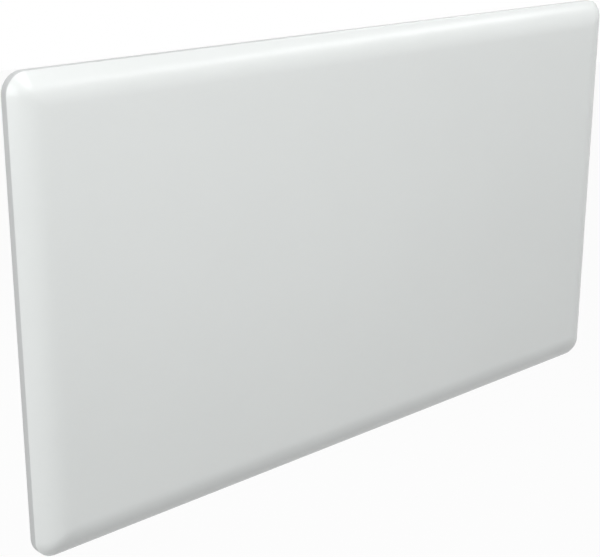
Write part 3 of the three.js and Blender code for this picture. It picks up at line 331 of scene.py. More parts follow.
def rounded(a0, b0, a1, b1, radius, steps=CORNER_STEPS):
    """Points of a rectangle with rounded corners."""
    left, low, right, high = a0 + radius, b0 + radius, a1 - radius, b1 - radius
    points = []
    for corner, centre in enumerate(((right, low), (right, high), (left, high), (left, low))):
        points += arc(centre, radius, (corner - 1) * RIGHT_ANGLE, corner * RIGHT_ANGLE, steps)
    return points


def about(a, b, width, height, radius, steps=CORNER_STEPS):
    """The same about a middle, with its two sizes."""
    radius = min(radius, ALMOST_HALF * min(width, height))
    return rounded(a - width / 2, b - height / 2, a + width / 2, b + height / 2, radius, steps)


def circle(a, b, radius, steps=LATHE_STEPS):
    return arc((a, b), radius, 0, 2 * math.pi, steps)[:-1]


def prism(axis, outline, low, high):
    return loft([[place(axis, a, b, along) for a, b in outline] for along in (low, high)])


def drill(axis, outline, low, high):
    """A tool that cuts an outline right through."""
    return prism(axis, outline, low - THROUGH, high + THROUGH)


def inside(axis, low, high, inset=0, radius=SLOT_CORNER, steps=SMALL_STEPS):
    """The outline of a box seen along an axis, moved inwards and with rounded corners."""
    a, b = [i for i in range(3) if i != "xyz".index(axis)]
    return rounded(low[a] + inset, low[b] + inset, high[a] - inset, high[b] - inset, radius, steps)


def arc(centre, radius, start, end, steps=BEND_STEPS):
    """Points on a circle in a section, between two turns."""
    turns = [start + (end - start) * step / steps for step in range(steps + 1)]
    return [(centre[0] + radius * math.cos(turn), centre[1] + radius * math.sin(turn)) for turn in turns]


def slab(axis, ring, low, high, edge_low, edge_high):
    """A plate with rounded edges. ring(inset) gives its outline, moved inwards."""
    profile = arc((edge_low, low + edge_low), edge_low, -RIGHT_ANGLE, -math.pi)
    profile += arc((edge_high, high - edge_high), edge_high, math.pi, RIGHT_ANGLE)
    return loft([[place(axis, a, b, along) for a, b in ring(inset)] for inset, along in profile])


def lathe(axis, centre, profile, closed=False, ripple=None, steps=LATHE_STEPS):
    """A solid of revolution from (radius, along) pairs. ripple(turn, along) scales the radius."""
    rings = []
    for radius, along in profile:
        ring = []
        for step in range(steps):
            turn = 2 * math.pi * step / steps
            reach = radius * (ripple(turn, along) if ripple else 1)
            point = (centre[0] + reach * math.cos(turn), centre[1] + reach * math.sin(turn))
            ring.append(place(axis, *point, along))
        rings.append(ring)
    return loft(rings, closed)


def swell(turn, count):
    """A wave between 0 and 1, a number of times round."""
    return 0.5 + 0.5 * math.cos(count * turn)


def together(meshes):
    """Several meshes as one, without joining their solids."""
    work = bmesh.new()
    for mesh in meshes:
        work.from_mesh(mesh)
    result = bpy.data.meshes.new("group")
    work.to_mesh(result)
    work.free()
    return result


def show(name, data):
    """A new object in the scene."""
    item = bpy.data.objects.new(name, data)
    bpy.context.scene.collection.objects.link(item)
    return item


def baked(item):
    """A new mesh of an object as it shows."""
    return bpy.data.meshes.new_from_object(item.evaluated_get(bpy.context.evaluated_depsgraph_get()))


def solve(mesh, tool, operation):
    """One boolean between two closed meshes."""
    target, cutter = show("target", mesh), show("cutter", tool)
    modifier = target.modifiers.new("solve", "BOOLEAN")
    modifier.operation = operation
    modifier.solver = "EXACT"
    modifier.object = cutter
    result = baked(target)
    for item in (target, cutter):
        bpy.data.objects.remove(item)
    return result


def cut(mesh, *tools):
    return solve(mesh, together(tools), "DIFFERENCE")


def join(mesh, other):
    return solve(mesh, other, "UNION")


def turned(mesh, matrix):
    mesh.transform(matrix)
    return mesh


def coat(mesh, finish):
    """Gives a mesh smooth faces and a finish."""
    mesh.polygons.foreach_set("use_smooth", [True] * len(mesh.polygons))
    mesh.materials.clear()
    mesh.materials.append(finishes[finish])


def add_piece(name, mesh, slot, body, *nodes, sharp=SHARP, finish=None):
    """Makes a mesh in millimetres into a piece that rides on a body and takes the place of CAD nodes."""
    mesh.transform(Matrix.Scale(MM, 4))
    coat(mesh, finish or slot)
    mesh.set_sharp_from_angle(angle=math.radians(sharp))
    mesh.update()
    piece = show(name, mesh)
    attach(piece, body)
    if nodes:
        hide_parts(*nodes)


# ---- finishes


class Tree:
    """The nodes of one material around its main shader."""

    def __init__(self, name, colour, roughness):
        self.material = bpy.data.materials.new(name)
        self.material.use_nodes = True
        self.nodes = self.material.node_tree.nodes
        self.links = self.material.node_tree.links
        self.shader = self.nodes["Principled BSDF"]
        self.colour, self.roughness = colour, roughness
        self.set("Base Color", (*colour, 1))
        self.set("Roughness", roughness)
        self.place = self.nodes.new("ShaderNodeTexCoord").outputs["Object"]

    def set(self, name, value):
        self.shader.inputs[name].default_value = value

    def texture(self, kind, scale, stretch=None):
        node = self.nodes.new("ShaderNodeTex" + kind)
        node.inputs["Scale"].default_value = scale
        place = self.place
        if stretch:
            mapping = self.nodes.new("ShaderNodeMapping")
            mapping.inputs["Scale"].default_value = stretch
            self.links.new(place, mapping.inputs["Vector"])
            place = mapping.outputs["Vector"]
        self.links.new(place, node.inputs["Vector"])
        return node

    def noise(self, scale, detail=2.0, stretch=None):
        """Noise from 0 to 1, its scale in cells per metre."""
        node = self.texture("Noise", scale, stretch)
        node.inputs["Detail"].default_value = detail
        return node.outputs["Fac"]

    def spread(self, value, low, high, start=0.3, end=0.7):
        """Maps a value between start and end to one between low and high."""
        node = self.nodes.new("ShaderNodeMapRange")
        for name, number in (("From Min", start), ("From Max", end), ("To Min", low), ("To Max", high)):
            node.inputs[name].default_value = number
        self.links.new(value, node.inputs["Value"])
        return node.outputs["Result"]

    def blend(self, factor, first, second):
        """Mixes the base colour from two."""
        node = self.nodes.new("ShaderNodeMix")
        node.data_type = "RGBA"
        node.inputs["A"].default_value = (*first, 1)
        node.inputs["B"].default_value = (*second, 1)
        self.links.new(factor, node.inputs["Factor"])
        self.links.new(node.outputs["Result"], self.shader.inputs["Base Color"])

    def mottle(self, value, low, high, *window):
        """Lets the base colour drift between two shades of itself."""
        self.blend(self.spread(value, 0, 1, *window), shade(self.colour, low), shade(self.colour, high))

    def vary(self, value, less, more, *window):
        """Lets the roughness drift from less to more than its own."""
        rough = self.spread(value, self.roughness - less, self.roughness + more, *window)
        self.links.new(rough, self.shader.inputs["Roughness"])

    def bump(self, height, depth):
        """Adds a relief, its depth in micrometres, to what is there."""
        node = self.nodes.new("ShaderNodeBump")
        node.inputs["Distance"].default_value = depth * MICRON
        node.inputs["Strength"].default_value = 1.0
        self.links.new(height, node.inputs["Height"])
        before = self.shader.inputs["Normal"]
        if before.is_linked:
            self.links.new(before.links[0].from_socket, node.inputs["Normal"])
        self.links.new(node.outputs["Normal"], before)


def shade(colour, factor):
    return tuple(min(channel * factor, 1) for channel in colour)


def paint(tree, gloss, peel):
    """Powder coat: an even colour, a faint cloudiness in its gloss and the fine waves of orange peel."""
    tree.set("Specular IOR Level", gloss)
    tree.mottle(tree.noise(9, 3), 0.992, 1.004)
    tree.vary(tree.noise(60, 3), 0.008, 0.008)
    tree.bump(tree.noise(520), peel)
    tree.bump(tree.noise(2600, 1), peel / 6)


def plastic(tree, grain):
    """Moulded plastic with a fine spark-eroded grain."""
    tree.mottle(tree.noise(120, 4), 0.96, 1.03)
    tree.vary(tree.noise(400, 3), 0.05, 0.06)
    tree.bump(tree.noise(3200, 3), grain)


def metal(tree, stretch, streak, depth=10):
    """Bare metal with rolling or drawing lines along the axis that is stretched."""
    tree.set("Metallic", 1)
    lines = tree.noise(streak, 4, stretch)
    tree.mottle(tree.noise(45, 5), 0.84, 1.08)
    tree.vary(lines, 0.08, 0.1)
    tree.bump(lines, depth)


def galvanised(tree):
    """Zinc spangle: flat crystals, each with its own tone, the paler the glossier."""
    tree.set("Metallic", 1)
    grain = tree.texture("Voronoi", 160).outputs["Color"]
    tree.mottle(grain, 0.72, 1.12, 0, 1)
    tree.vary(grain, -0.14, -0.08, 0, 1)
    tree.bump(tree.noise(700, 3), 12)


def sheath(tree):
    """Heater tube steel, tinted by heat in soft bands along its length."""
    tree.set("Metallic", 1)
    bands = tree.noise(14, 3, (1, 0.2, 0.2))
    tree.blend(tree.spread(bands, 0, 1), (0.33, 0.27, 0.22), (0.24, 0.27, 0.33))
    tree.vary(tree.noise(500, 3), 0.06, 0.1)
    tree.bump(tree.noise(1500), 10)


def striped_wire(tree, second):
    """Insulation in two colours, in bands along the wire."""
    wave = tree.texture("Wave", 60).outputs["Fac"]
    tree.blend(tree.spread(wave, 0, 1, 0.45, 0.55), tree.colour, second)
    tree.vary(tree.noise(300), 0.05, 0.05)
    tree.bump(tree.noise(2000), 10)


def board(tree):
    """A circuit board: tracks under a green solder mask."""
    bricks = tree.texture("Brick", 260)
    bricks.inputs["Mortar Size"].default_value = 0.06
    tracks = bricks.outputs["Fac"]
    tree.blend(tracks, tree.colour, shade(tree.colour, 1.7))
    tree.vary(tree.noise(300), 0.05, 0.08)
    tree.bump(tracks, 20)


def lens(tree):
    """A clear amber lens with a faintly frosted core."""
    tree.set("Transmission Weight", 0.55)
    tree.set("IOR", 1.49)
    tree.mottle(tree.noise(900), 0.85, 1)
    tree.vary(tree.noise(1400), 0, 0.12)
    tree.bump(tree.noise(2400), 10)


# name, kind, colour, roughness, and what the kind asks for
FINISHES = [
    ("satin_white_paint", paint, (0.776, 0.80, 0.791), 0.255, 0.45, 6),
    ("light_grey_paint", paint, (0.61, 0.62, 0.62), 0.60, 0.10, 18),
    ("zinc_plate", metal, (0.56, 0.58, 0.60), 0.42, (1, 1, 0.15), 260),
    ("galvanised_sheet", galvanised, (0.58, 0.60, 0.61), 0.42),
    ("extruded_aluminium", metal, (0.74, 0.75, 0.76), 0.36, (0.04, 1, 1), 600),
    ("rod_sheath", sheath, (0.28, 0.27, 0.27), 0.38),
    ("ceramic", plastic, (0.78, 0.75, 0.67), 0.62, 30),
    ("brass", metal, (0.72, 0.53, 0.25), 0.34, (1, 1, 1), 500),
    ("white_plastic", plastic, (0.80, 0.80, 0.78), 0.44, 12),
    ("black_plastic", plastic, (0.030, 0.030, 0.032), 0.48, 20),
    ("grey_plastic", plastic, (0.25, 0.27, 0.28), 0.52, 20),
    ("circuit_board", board, (0.016, 0.11, 0.05), 0.36),
    ("amber_lens", lens, (0.75, 0.27, 0.03), 0.08),
    ("rubber", plastic, (0.022, 0.022, 0.023), 0.82, 40),
    ("brown_insulation", plastic, (0.15, 0.05, 0.018), 0.46, 10),
    ("blue_insulation", plastic, (0.03, 0.11, 0.40), 0.46, 10),
    ("earth_insulation", striped_wire, (0.10, 0.33, 0.05), 0.46, (0.72, 0.60, 0.04)),
    ("screw_steel", metal, (0.62, 0.63, 0.65), 0.30, (1, 1, 1), 900, 6),
    ("white_print", plastic, (0.82, 0.82, 0.80), 0.5, 10),
    ("grey_print", plastic, (0.17, 0.18, 0.19), 0.5, 10),
]
PAINT_SLOTS = {"satin_white_paint": "panel_white", "light_grey_paint": "casing_grey"}


def make_finishes():
    """The finish of every slot, and of the two prints."""
    result = {}
    for name, kind, colour, roughness, *details in FINISHES:
        tree = Tree(name, colour, roughness)
        kind(tree, *details)
        result[PAINT_SLOTS.get(name, name)] = tree.material
    return result


# ---- outlines and planes of the heater

panel_low, panel_high = corners("front_panel")
casing_low, casing_high = corners("rear_casing")
flat_y = panel_low[1]
skirt_y = panel_high[1]
back_y = casing_high[1]
step_y = back_y - BOX_DEPTH
rim_y = casing_low[1]
crease_y = rim_y - GAP
half_width, half_height = panel_high[0], panel_high[2]
box_x = half_width - BOX_INSET_SIDE
box_top = half_height - BOX_INSET_TOP
box_low = -half_height + BOX_INSET_BOTTOM
web_front = corners("left_arm_pad_1")[1][1] + GAP  # of the arms


def outline_ring(inset, y):
    """The heater's outline, moved inwards: its corners tighten, but never to a point."""
    spare = CORNER_RADIUS - inset
    softness = SOFT_MITRE * min(max(inset, 0) / CORNER_RADIUS, 1)
    radius = (spare + math.hypot(spare, softness)) / 2
    a, b = half_width - inset, half_height - inset
    return [(x, y, z) for x, z in rounded(-a, -b, a, b, radius)]


def box_ring(inset, y):
    """The outline of the smaller box behind, moved inwards."""
    radius = max(BOX_CORNER - inset, LEAST_CORNER)
    points = rounded(-box_x + inset, box_low + inset, box_x - inset, box_top - inset, radius)
    return [(x, y, z) for x, z in points]


# ---- front panel


def front_profile():
    """(inset, y) from the flat over the roll to the crease, back along the skirt and up the inside."""
    roll_y = flat_y + ROLL_RADIUS
    reach = ROLL_RADIUS - EDGE_RADIUS
    turn = math.acos((roll_y - crease_y) / reach)
    roll_inset = EDGE_RADIUS + reach * math.sin(turn)
    inner = ROLL_RADIUS - SKIN
    inner_inset = SKIRT_INSET + SKIN
    inner_turn = math.asin((roll_inset - inner_inset) / inner)
    front = -RIGHT_ANGLE
    return [
        (roll_inset + FLAT_MARGIN, flat_y),
        *arc((roll_inset, roll_y), ROLL_RADIUS, front, front - turn, ROLL_STEPS),
        *arc((EDGE_RADIUS, crease_y), EDGE_RADIUS, front - turn, 2 * front, EDGE_STEPS)[1:],
        (SKIRT_INSET, crease_y),
        (SKIRT_INSET, skirt_y),
        (inner_inset, skirt_y),
        *arc((roll_inset, roll_y), inner, front - inner_turn, front, ROLL_STEPS // 2),
        (roll_inset + FLAT_MARGIN, flat_y + SKIN),
    ]


def front_lug(x, z):
    """A lug that reaches in from the skirt at one screw."""
    half, reach = LUG
    beside = abs(x) > half_width - reach
    along, far = (x, half_width) if beside else (z, half_height)
    a, b = sorted(math.copysign(distance, along) for distance in (far - reach, far - LUG_BITE))
    box = (a, z - half, b, z + half) if beside else (x - half, a, x + half, b)
    plate = prism("y", rounded(*box, SLOT_CORNER, SMALL_STEPS), skirt_y - SKIN, skirt_y - LUG_LIFT)
    return cut(plate, prism("y", circle(x, z, SCREW_HOLE, HOLE_STEPS), skirt_y - 2 * SKIN, skirt_y + THROUGH))


def front_panel():
    mesh = loft([outline_ring(inset, y) for inset, y in front_profile()])
    for node in FRONT_SCREWS:
        x, _, z = middle(node)
        mesh = join(mesh, front_lug(x, z))
    add_piece("front_panel_shell", mesh, "panel_white", "heater", "front_panel")


# ---- rear casing and grilles


def casing_rings():
    """Rings from the middle of the back round every bend to the rim, over its edge and back inside."""
    nose = SHEET / 2

    def layer(depth):
        back = arc((BACK_BEND, back_y - BACK_BEND), BACK_BEND - depth, RIGHT_ANGLE, math.pi)
        step = arc((-STEP_BEND, step_y + STEP_BEND), STEP_BEND + depth, 0, -RIGHT_ANGLE)
        rim = arc((RIM_BEND, step_y - RIM_BEND), RIM_BEND - depth, RIGHT_ANGLE, math.pi)
        return [box_ring(*p) for p in back + step] + [outline_ring(*p) for p in rim]

    edge = arc((nose, rim_y + nose), nose, math.pi, 2 * math.pi, EDGE_STEPS)
    return layer(0) + [outline_ring(*p) for p in edge] + layer(SHEET)[::-1]


def grille_opening(node):
    return inside("z", *corners(node), GRILLE_LAP, GRILLE_CORNER, CORNER_STEPS)


def casing_cutters():
    """A tool for every hole in the casing."""
    step, back = ("y", step_y - SHEET, step_y), ("y", back_y - SHEET, back_y)
    floor, roof = ("z", box_low, box_low + SHEET), ("z", box_top - SHEET, box_top)
    right_wall = ("x", box_x - SHEET, box_x)
    holes = []
    for wall, nodes in ((step, FRONT_SCREWS), (back, [*HANGER_SCREWS, "earth_screw"])):
        for node in nodes:
            x, _, z = middle(node)
            holes.append((wall, circle(x, z, SCREW_HOLE, HOLE_STEPS)))
    for side in ("left", "right"):
        x, _, z = middle(f"{side}_lock_bolt")
        tongue_y = corners(f"{side}_arm")[0][1] + LEDGE_SHEET / 2
        holes.append((back, about(x, z, *LOCK_SLOT, SLOT_CORNER, SMALL_STEPS)))
        holes.append((floor, about(x, tongue_y, *TONGUE_SLOT, SLOT_CORNER, SMALL_STEPS)))
    holes += [
        (floor, circle(*middle("cable_gland")[:2], GLAND_HOLE)),
        (floor, grille_opening("inlet_grille")),
        (roof, grille_opening("outlet_grille")),
        (right_wall, about(*middle("control_fascia")[1:], *CONTROL_OPENING, CONTROL_CORNER)),
    ]
    return [drill(axis, outline, low, high) for (axis, low, high), outline in holes]


def rear_casing():
    mesh = cut(loft(casing_rings()), *casing_cutters())
    add_piece("rear_casing_shell", mesh, "casing_grey", "heater", "rear_casing")


def grille(node):
    """A plate with a row of round-ended slots."""
    low, high = corners(node)
    x, y, _ = middle(node)
    count = int((high[0] - low[0] - 2 * GRILLE_LAP - GRILLE_SLOT) / GRILLE_PITCH)
    length = high[1] - low[1] - 2 * (GRILLE_LAP + GRILLE_BORDER)
    slots = []
    for number in range(count):
        slot_x = x + (number - (count - 1) / 2) * GRILLE_PITCH
        outline = about(slot_x, y, GRILLE_SLOT, length, GRILLE_SLOT, END_STEPS)
        slots.append(drill("z", outline, low[2], high[2]))
    plate = prism("z", inside("z", low, high), low[2], high[2])
    add_piece(f"{node}_plate", cut(plate, *slots), "casing_grey", "heater", node)


# ---- wall bracket


def bent_section(bends, thickness, radius):
    """The section of a folded sheet, from a line of bends.

    The sheet lies to the line's left if its thickness is positive. The radius is that of each fold's inside.
    """
    points = [Vector(bend) for bend in bends]
    line, offset = [], []
    for i, point in enumerate(points):
        if i in (0, len(points) - 1):
            way = (points[1] - points[0] if i == 0 else points[-1] - points[-2]).normalized()
            line.append(point)
            offset.append(point + Vector((-way.y, way.x)) * thickness)
            continue
        before = (point - points[i - 1]).normalized()
        after = (points[i + 1] - point).normalized()
        turn = math.atan2(before.cross(after), before.dot(after))
        side = math.copysign(1, turn)
        near, far = radius + abs(thickness), radius
        if side * thickness < 0:
            near, far = far, near
        spoke = Vector((before.y, -before.x)) * side
        centre = point - before * near * math.tan(abs(turn) / 2) - spoke * near
        for step in range(BEND_STEPS + 1):
            way = Matrix.Rotation(turn * step / BEND_STEPS, 2) @ spoke
            line.append(centre + way * near)
            offset.append(centre + way * far)
    return [tuple(point) for point in line + offset[::-1]]


def arm(side):
    """A hat-section channel with a plate in its web: a tab above, a ledge and a tongue below."""
    node = f"{side}_arm"
    low, high = corners(node)
    x, lock_z = middle(node)[0], middle(f"{side}_lock_bolt")[2]
    half, inner = ARM_WEB / 2, ARM_WEB / 2 - ARM_SHEET
    web_rear = web_front + ARM_SHEET
    bends = [(x - half - ARM_FOOT, 0), (x - inner, 0), (x - inner, web_rear)]
    bends += [(x + inner, web_rear), (x + inner, 0), (x + half + ARM_FOOT, 0)]
    section = bent_section(bends, -ARM_SHEET, ARM_BEND)
    channel = prism("z", section, low[2] + LEDGE_SHEET + LEDGE_BEND, CHANNEL_TOP)
    holes = []
    for foot_x in (x - half - ARM_FOOT / 2, x + half + ARM_FOOT / 2):
        for z in (-FOOT_SLOT_Z, FOOT_SLOT_Z):
            outline = about(foot_x, z, *WALL_SLOT, WALL_SLOT[0])
            holes.append(drill("y", outline, high[1] - ARM_SHEET, high[1]))
    holes.append(drill("y", circle(x, lock_z, LOCK_HOLE), web_front, web_rear))
    mesh = cut(join(channel, ledge_strip(x, low, high)), *holes)
    add_piece(f"{node}_channel", mesh, "zinc_plate", "bracket", node)


def quarter_bend(centre, radius, start, half, sheet, end_sheet):
    """Stations of a strip round a quarter turn, while its thickness changes."""
    points = arc(centre, radius, -start, -start - RIGHT_ANGLE)
    for step, (y, z) in enumerate(points):
        share = step / BEND_STEPS
        yield y, z, start + RIGHT_ANGLE * share, half, sheet + (end_sheet - sheet) * share


def ledge_strip(x, low, high):
    """One strip from the tab at the top, down inside the web, forward as the ledge and up as the tongue."""
    sheet, half_web = ARM_SHEET - 2 * STRIP_INSET, ARM_WEB / 2 - STRIP_INSET
    ledge, tongue, thick = LEDGE_WIDTH / 2, TONGUE_WIDTH / 2, LEDGE_SHEET
    web_y, ledge_z, tongue_y = web_front + ARM_SHEET / 2, low[2] + thick / 2, low[1] + thick / 2
    reach = LEDGE_BEND + sheet / 2
    tip_z = low[2] + thick + TONGUE_RISE
    # Each station has y, z, a turn from upright, half the width and the thickness.
    tab = arc((half_web - TAB_CORNER, high[2] - TAB_CORNER), TAB_CORNER, RIGHT_ANGLE, 0)
    stations = [
        *[(web_y, z, 0, half, sheet) for half, z in tab],
        (web_y, ledge_z + LEDGE_NECK[0] * LEDGE_BEND, 0, half_web, sheet),
        (web_y, ledge_z + LEDGE_NECK[1] * LEDGE_BEND, 0, ledge, sheet),
        *quarter_bend((web_y - reach, ledge_z + reach), reach, 0, ledge, sheet, thick),
        (tongue_y + TONGUE_NECK[0] * thick, ledge_z, RIGHT_ANGLE, ledge, thick),
        (tongue_y + TONGUE_NECK[1] * thick, ledge_z, RIGHT_ANGLE, tongue, thick),
        *quarter_bend((tongue_y + thick, ledge_z + thick), thick, RIGHT_ANGLE, tongue, thick, thick),
        (tongue_y, tip_z - TONGUE_TIP, 2 * RIGHT_ANGLE, tongue, thick),
        (tongue_y, tip_z, 2 * RIGHT_ANGLE, tongue - TONGUE_TIP, thick * TIP_SHEET),
    ]
    rings = []
    for y, z, turn, half, thickness in stations:
        a, b = math.cos(turn) * thickness / 2, -math.sin(turn) * thickness / 2
        corner_points = ((-half, -1), (half, -1), (half, 1), (-half, 1))
        rings.append([(x + across, y + way * a, z + way * b) for across, way in corner_points])
    return loft(rings)


def cross_rail():
    """A strip on the wall, joggled over the inner feet of the arms, with slots for wall screws."""
    low, high = corners("cross_rail")
    lap_y = low[1] + ARM_SHEET
    flat = corners("right_arm")[0][0] - JOGGLE_GAP
    bends = [(low[0], lap_y), (-flat - JOGGLE_RUN, lap_y), (-flat, high[1])]
    bends += [(flat, high[1]), (flat + JOGGLE_RUN, lap_y), (high[0], lap_y)]
    strip = prism("z", bent_section(bends, -ARM_SHEET, RAIL_BEND), low[2], high[2])
    slots = [
        drill("y", about(x, 0, *reversed(WALL_SLOT), WALL_SLOT[0]), -ARM_SHEET, 0)
        for x in (-RAIL_SLOT_X, RAIL_SLOT_X)
    ]
    add_piece("cross_rail_strip", cut(strip, *slots), "zinc_plate", "bracket", "cross_rail")


def arm_pad(node):
    low, high = corners(node)

    def ring(inset):
        return inside("y", low, high, inset, PAD_CORNER - inset, END_STEPS)

    mesh = slab("y", ring, low[1], high[1], SMALL_EDGE, SMALL_EDGE)
    add_piece(f"{node}_rubber", mesh, "rubber", "bracket", node)


# ---- twist locks


def lock(side):
    """A bolt with a T head and a collar, and the lever on its tail behind the arm."""
    node = f"{side}_lock_bolt"
    x, _, z = middle(node)
    front, rear = corners(node)[0][1], corners(node)[1][1]
    collar_front, collar_rear, web_rear = back_y + GAP, web_front - GAP, web_front + ARM_SHEET
    profile = [
        (LOCK_SHAFT, front + HEAD_BITE),
        (LOCK_SHAFT, collar_front),
        (LOCK_COLLAR - CHAMFER, collar_front),
        (LOCK_COLLAR, collar_front + CHAMFER),
        (LOCK_COLLAR, collar_rear - CHAMFER),
        (LOCK_COLLAR - CHAMFER, collar_rear),
        (LOCK_SHAFT, collar_rear),
        (LOCK_SHAFT, web_rear),
        (LOCK_TAIL, web_rear),
        (LOCK_TAIL, rear - TAIL_CHAMFER),
        (LOCK_TAIL - TAIL_CHAMFER, rear),
    ]

    def head_ring(inset):
        return about(x, z, LOCK_HEAD[0] - 2 * inset, LOCK_HEAD[1] - 2 * inset, HEAD_CORNER, END_STEPS)

    head = slab("y", head_ring, front, front + HEAD_DEPTH, *HEAD_EDGES)
    bolt = join(lathe("y", (x, z), profile), head)
    add_piece(f"{node}_turned", bolt, "zinc_plate", f"{side}_lock", node)

    node = f"{side}_lock_lever"
    (_, front, _), (_, rear, top) = corners(node)
    edge = LEVER_EDGES[1]
    hub_edge = arc((LOCK_HUB - edge, rear - edge), edge, 0, RIGHT_ANGLE)
    hub = lathe("y", (x, z), [(LOCK_HUB, front), *hub_edge])
    low, high = (x - LEVER_WIDTH / 2, 0, z), (x + LEVER_WIDTH / 2, 0, top)

    def lever_ring(inset):
        return inside("y", low, high, inset, LEVER_CORNER - inset, END_STEPS)

    lever = join(hub, slab("y", lever_ring, front + LEVER_STEP, rear, *LEVER_EDGES))
    bore = prism("y", circle(x, z, LOCK_TAIL + TAIL_PLAY), front - THROUGH, rear - LEVER_CAP)
    add_piece(f"{node}_moulded", cut(lever, bore), "black_plastic", f"{side}_lock", node)


# ---- fasteners


def screw_mesh(head_radius, length):
    """A pan-head screw about Y: its head, with a cross recess, before the origin and its thread behind."""
    head = [(SHANK_RADIUS, 0), (head_radius - HEAD_BEVEL, 0), (head_radius, -HEAD_BEVEL)]
    for a, b in arc((0, 0), 1, 0, RIGHT_ANGLE, HEAD_STEPS)[1:]:
        head.append((max(head_radius * a, HEAD_FLAT), -HEAD_BEVEL - (HEAD_HEIGHT - HEAD_BEVEL) * b))
    shank = [(SHANK_RADIUS * THREAD_END, length)]
    along = length
    while along > SHANK_PLAIN + THREAD_PITCH:
        shank += [(SHANK_RADIUS * radius, along - THREAD_PITCH * share) for share, radius in THREAD]
        along -= THREAD_PITCH
    mesh = lathe("y", (0, 0), [*shank, (SHANK_RADIUS, SHANK_PLAIN), *head], steps=SCREW_STEPS)
    for size in (RECESS, reversed(RECESS)):
        outline = about(0, 0, *size, RECESS_CORNER, TINY_STEPS)
        mesh = cut(mesh, prism("y", outline, -HEAD_HEIGHT - THROUGH, -HEAD_HEIGHT + RECESS_DEPTH))
    return mesh


def screws():
    """Every screw of the heater. All are driven from behind, but the earth screw from inside the casing."""
    low, high = corners("front_screw_1")
    steel = screw_mesh((high[0] - low[0]) / 2, high[1] - low[1] - HEAD_HEIGHT)
    for node in [*FRONT_SCREWS, *HANGER_SCREWS]:
        x, _, z = middle(node)
        shift = Matrix.Translation((x, corners(node)[1][1] - HEAD_HEIGHT, z))
        mesh = turned(steel.copy(), shift @ Matrix.Rotation(math.pi, 4, "Z"))
        add_piece(f"{node}_steel", mesh, "screw_steel", "heater", node)
    x, _, z = middle("earth_screw")
    shift = Matrix.Translation((x, corners("earth_screw")[0][1] + HEAD_HEIGHT, z))
    add_piece("earth_screw_brass", turned(steel.copy(), shift), "brass", "heater", "earth_screw")


def cable_gland():
    """A flanged gland with grip flutes on its skirt and a ribbed, tapered snout."""
    (_, _, end), (_, _, top) = corners("cable_gland")
    flange_top = box_low - GAP
    flange_low = flange_top - FLANGE_HEIGHT
    across, along_edge = FLANGE_TOP_EDGE

    def grip(turn, along):
        on_flange = flange_low - GRIP_REACH[0] < along < flange_top - GRIP_REACH[1]
        return 1 - GRIP_DEPTH * swell(turn, GRIP_FLUTES) ** 2 if on_flange else 1

    ribs = []
    along = flange_low
    while along - RIB_PITCH > end + RIBS_END:
        for radius, drops in ((GLAND_SNOUT, RIB), (GLAND_GROOVE, RIB_GROOVE)):
            ribs += [(radius, along - drop) for drop in drops]
        along -= RIB_PITCH
    profile = [
        (GLAND_BORE, end + MOUTH_EDGE[1]),
        (GLAND_BORE + MOUTH_EDGE[0], end),
        (GLAND_GROOVE, end),
        (GLAND_GROOVE + SNOUT_EDGE[0], end + SNOUT_EDGE[1]),
        *reversed(ribs),
        (GLAND_SNOUT, flange_low),
        (GLAND_FLANGE - FLANGE_LOW_EDGE, flange_low),
        (GLAND_FLANGE, flange_low + FLANGE_LOW_EDGE),
        (GLAND_FLANGE, flange_top - along_edge),
        (GLAND_FLANGE - across, flange_top),
        (GLAND_NECK, flange_top),
        (GLAND_NECK, top - GLAND_NECK_EDGE),
        (GLAND_NECK - GLAND_NECK_EDGE, top),
        (GLAND_BORE, top),
    ]
    centre = middle("cable_gland")[:2]
    mesh = lathe("z", centre, profile, closed=True, ripple=grip, steps=GLAND_STEPS)
    add_piece("cable_gland_moulded", mesh, "grey_plastic", "heater", "cable_gland")


# ---- control unit


def fascia():
    """The plate round the controls: a soft edge, a skirt behind, openings for the controls and the sensor."""
    low, high = corners("control_fascia")
    y = middle("control_fascia")[1]
    rear, face = box_x + GAP, high[0]
    inner = FASCIA_SKIRT_INSET + FASCIA_SKIRT_WALL

    def ring(inset, x):
        radius = max(FASCIA_CORNER - inset, FASCIA_LEAST_CORNER)
        return [(x, a, b) for a, b in inside("x", low, high, inset, radius, CORNER_STEPS)]

    profile = [
        *arc((FASCIA_EDGE, face - FASCIA_EDGE), FASCIA_EDGE, RIGHT_ANGLE, 2 * RIGHT_ANGLE),
        (0, rear + SMALL_EDGE),
        (SMALL_EDGE, rear),
        (FASCIA_SKIRT_INSET, rear),
        (FASCIA_SKIRT_INSET, low[0]),
        (inner, low[0]),
        (inner, rear),
    ]
    knob_z, lens_z, switch_z = [middle(node)[2] for node in CONTROLS]
    openings = [
        circle(y, knob_z, SHAFT_HOLE),
        circle(y, lens_z, LENS_HOLE),
        about(y, switch_z, *SWITCH_OPENING, SLOT_CORNER, SMALL_STEPS),
    ]
    for row in (-1, 0, 1):
        openings.append(about(y, lens_z - VENT_DROP + row * VENT_PITCH, *VENT, VENT[1], END_STEPS))
    mesh = loft([ring(inset, x) for inset, x in profile])
    mesh = cut(mesh, *[drill("x", outline, low[0], face) for outline in openings])
    add_piece("control_fascia_plate", mesh, "white_plastic", "heater", "control_fascia")
    dial_marks(face, y, knob_z)


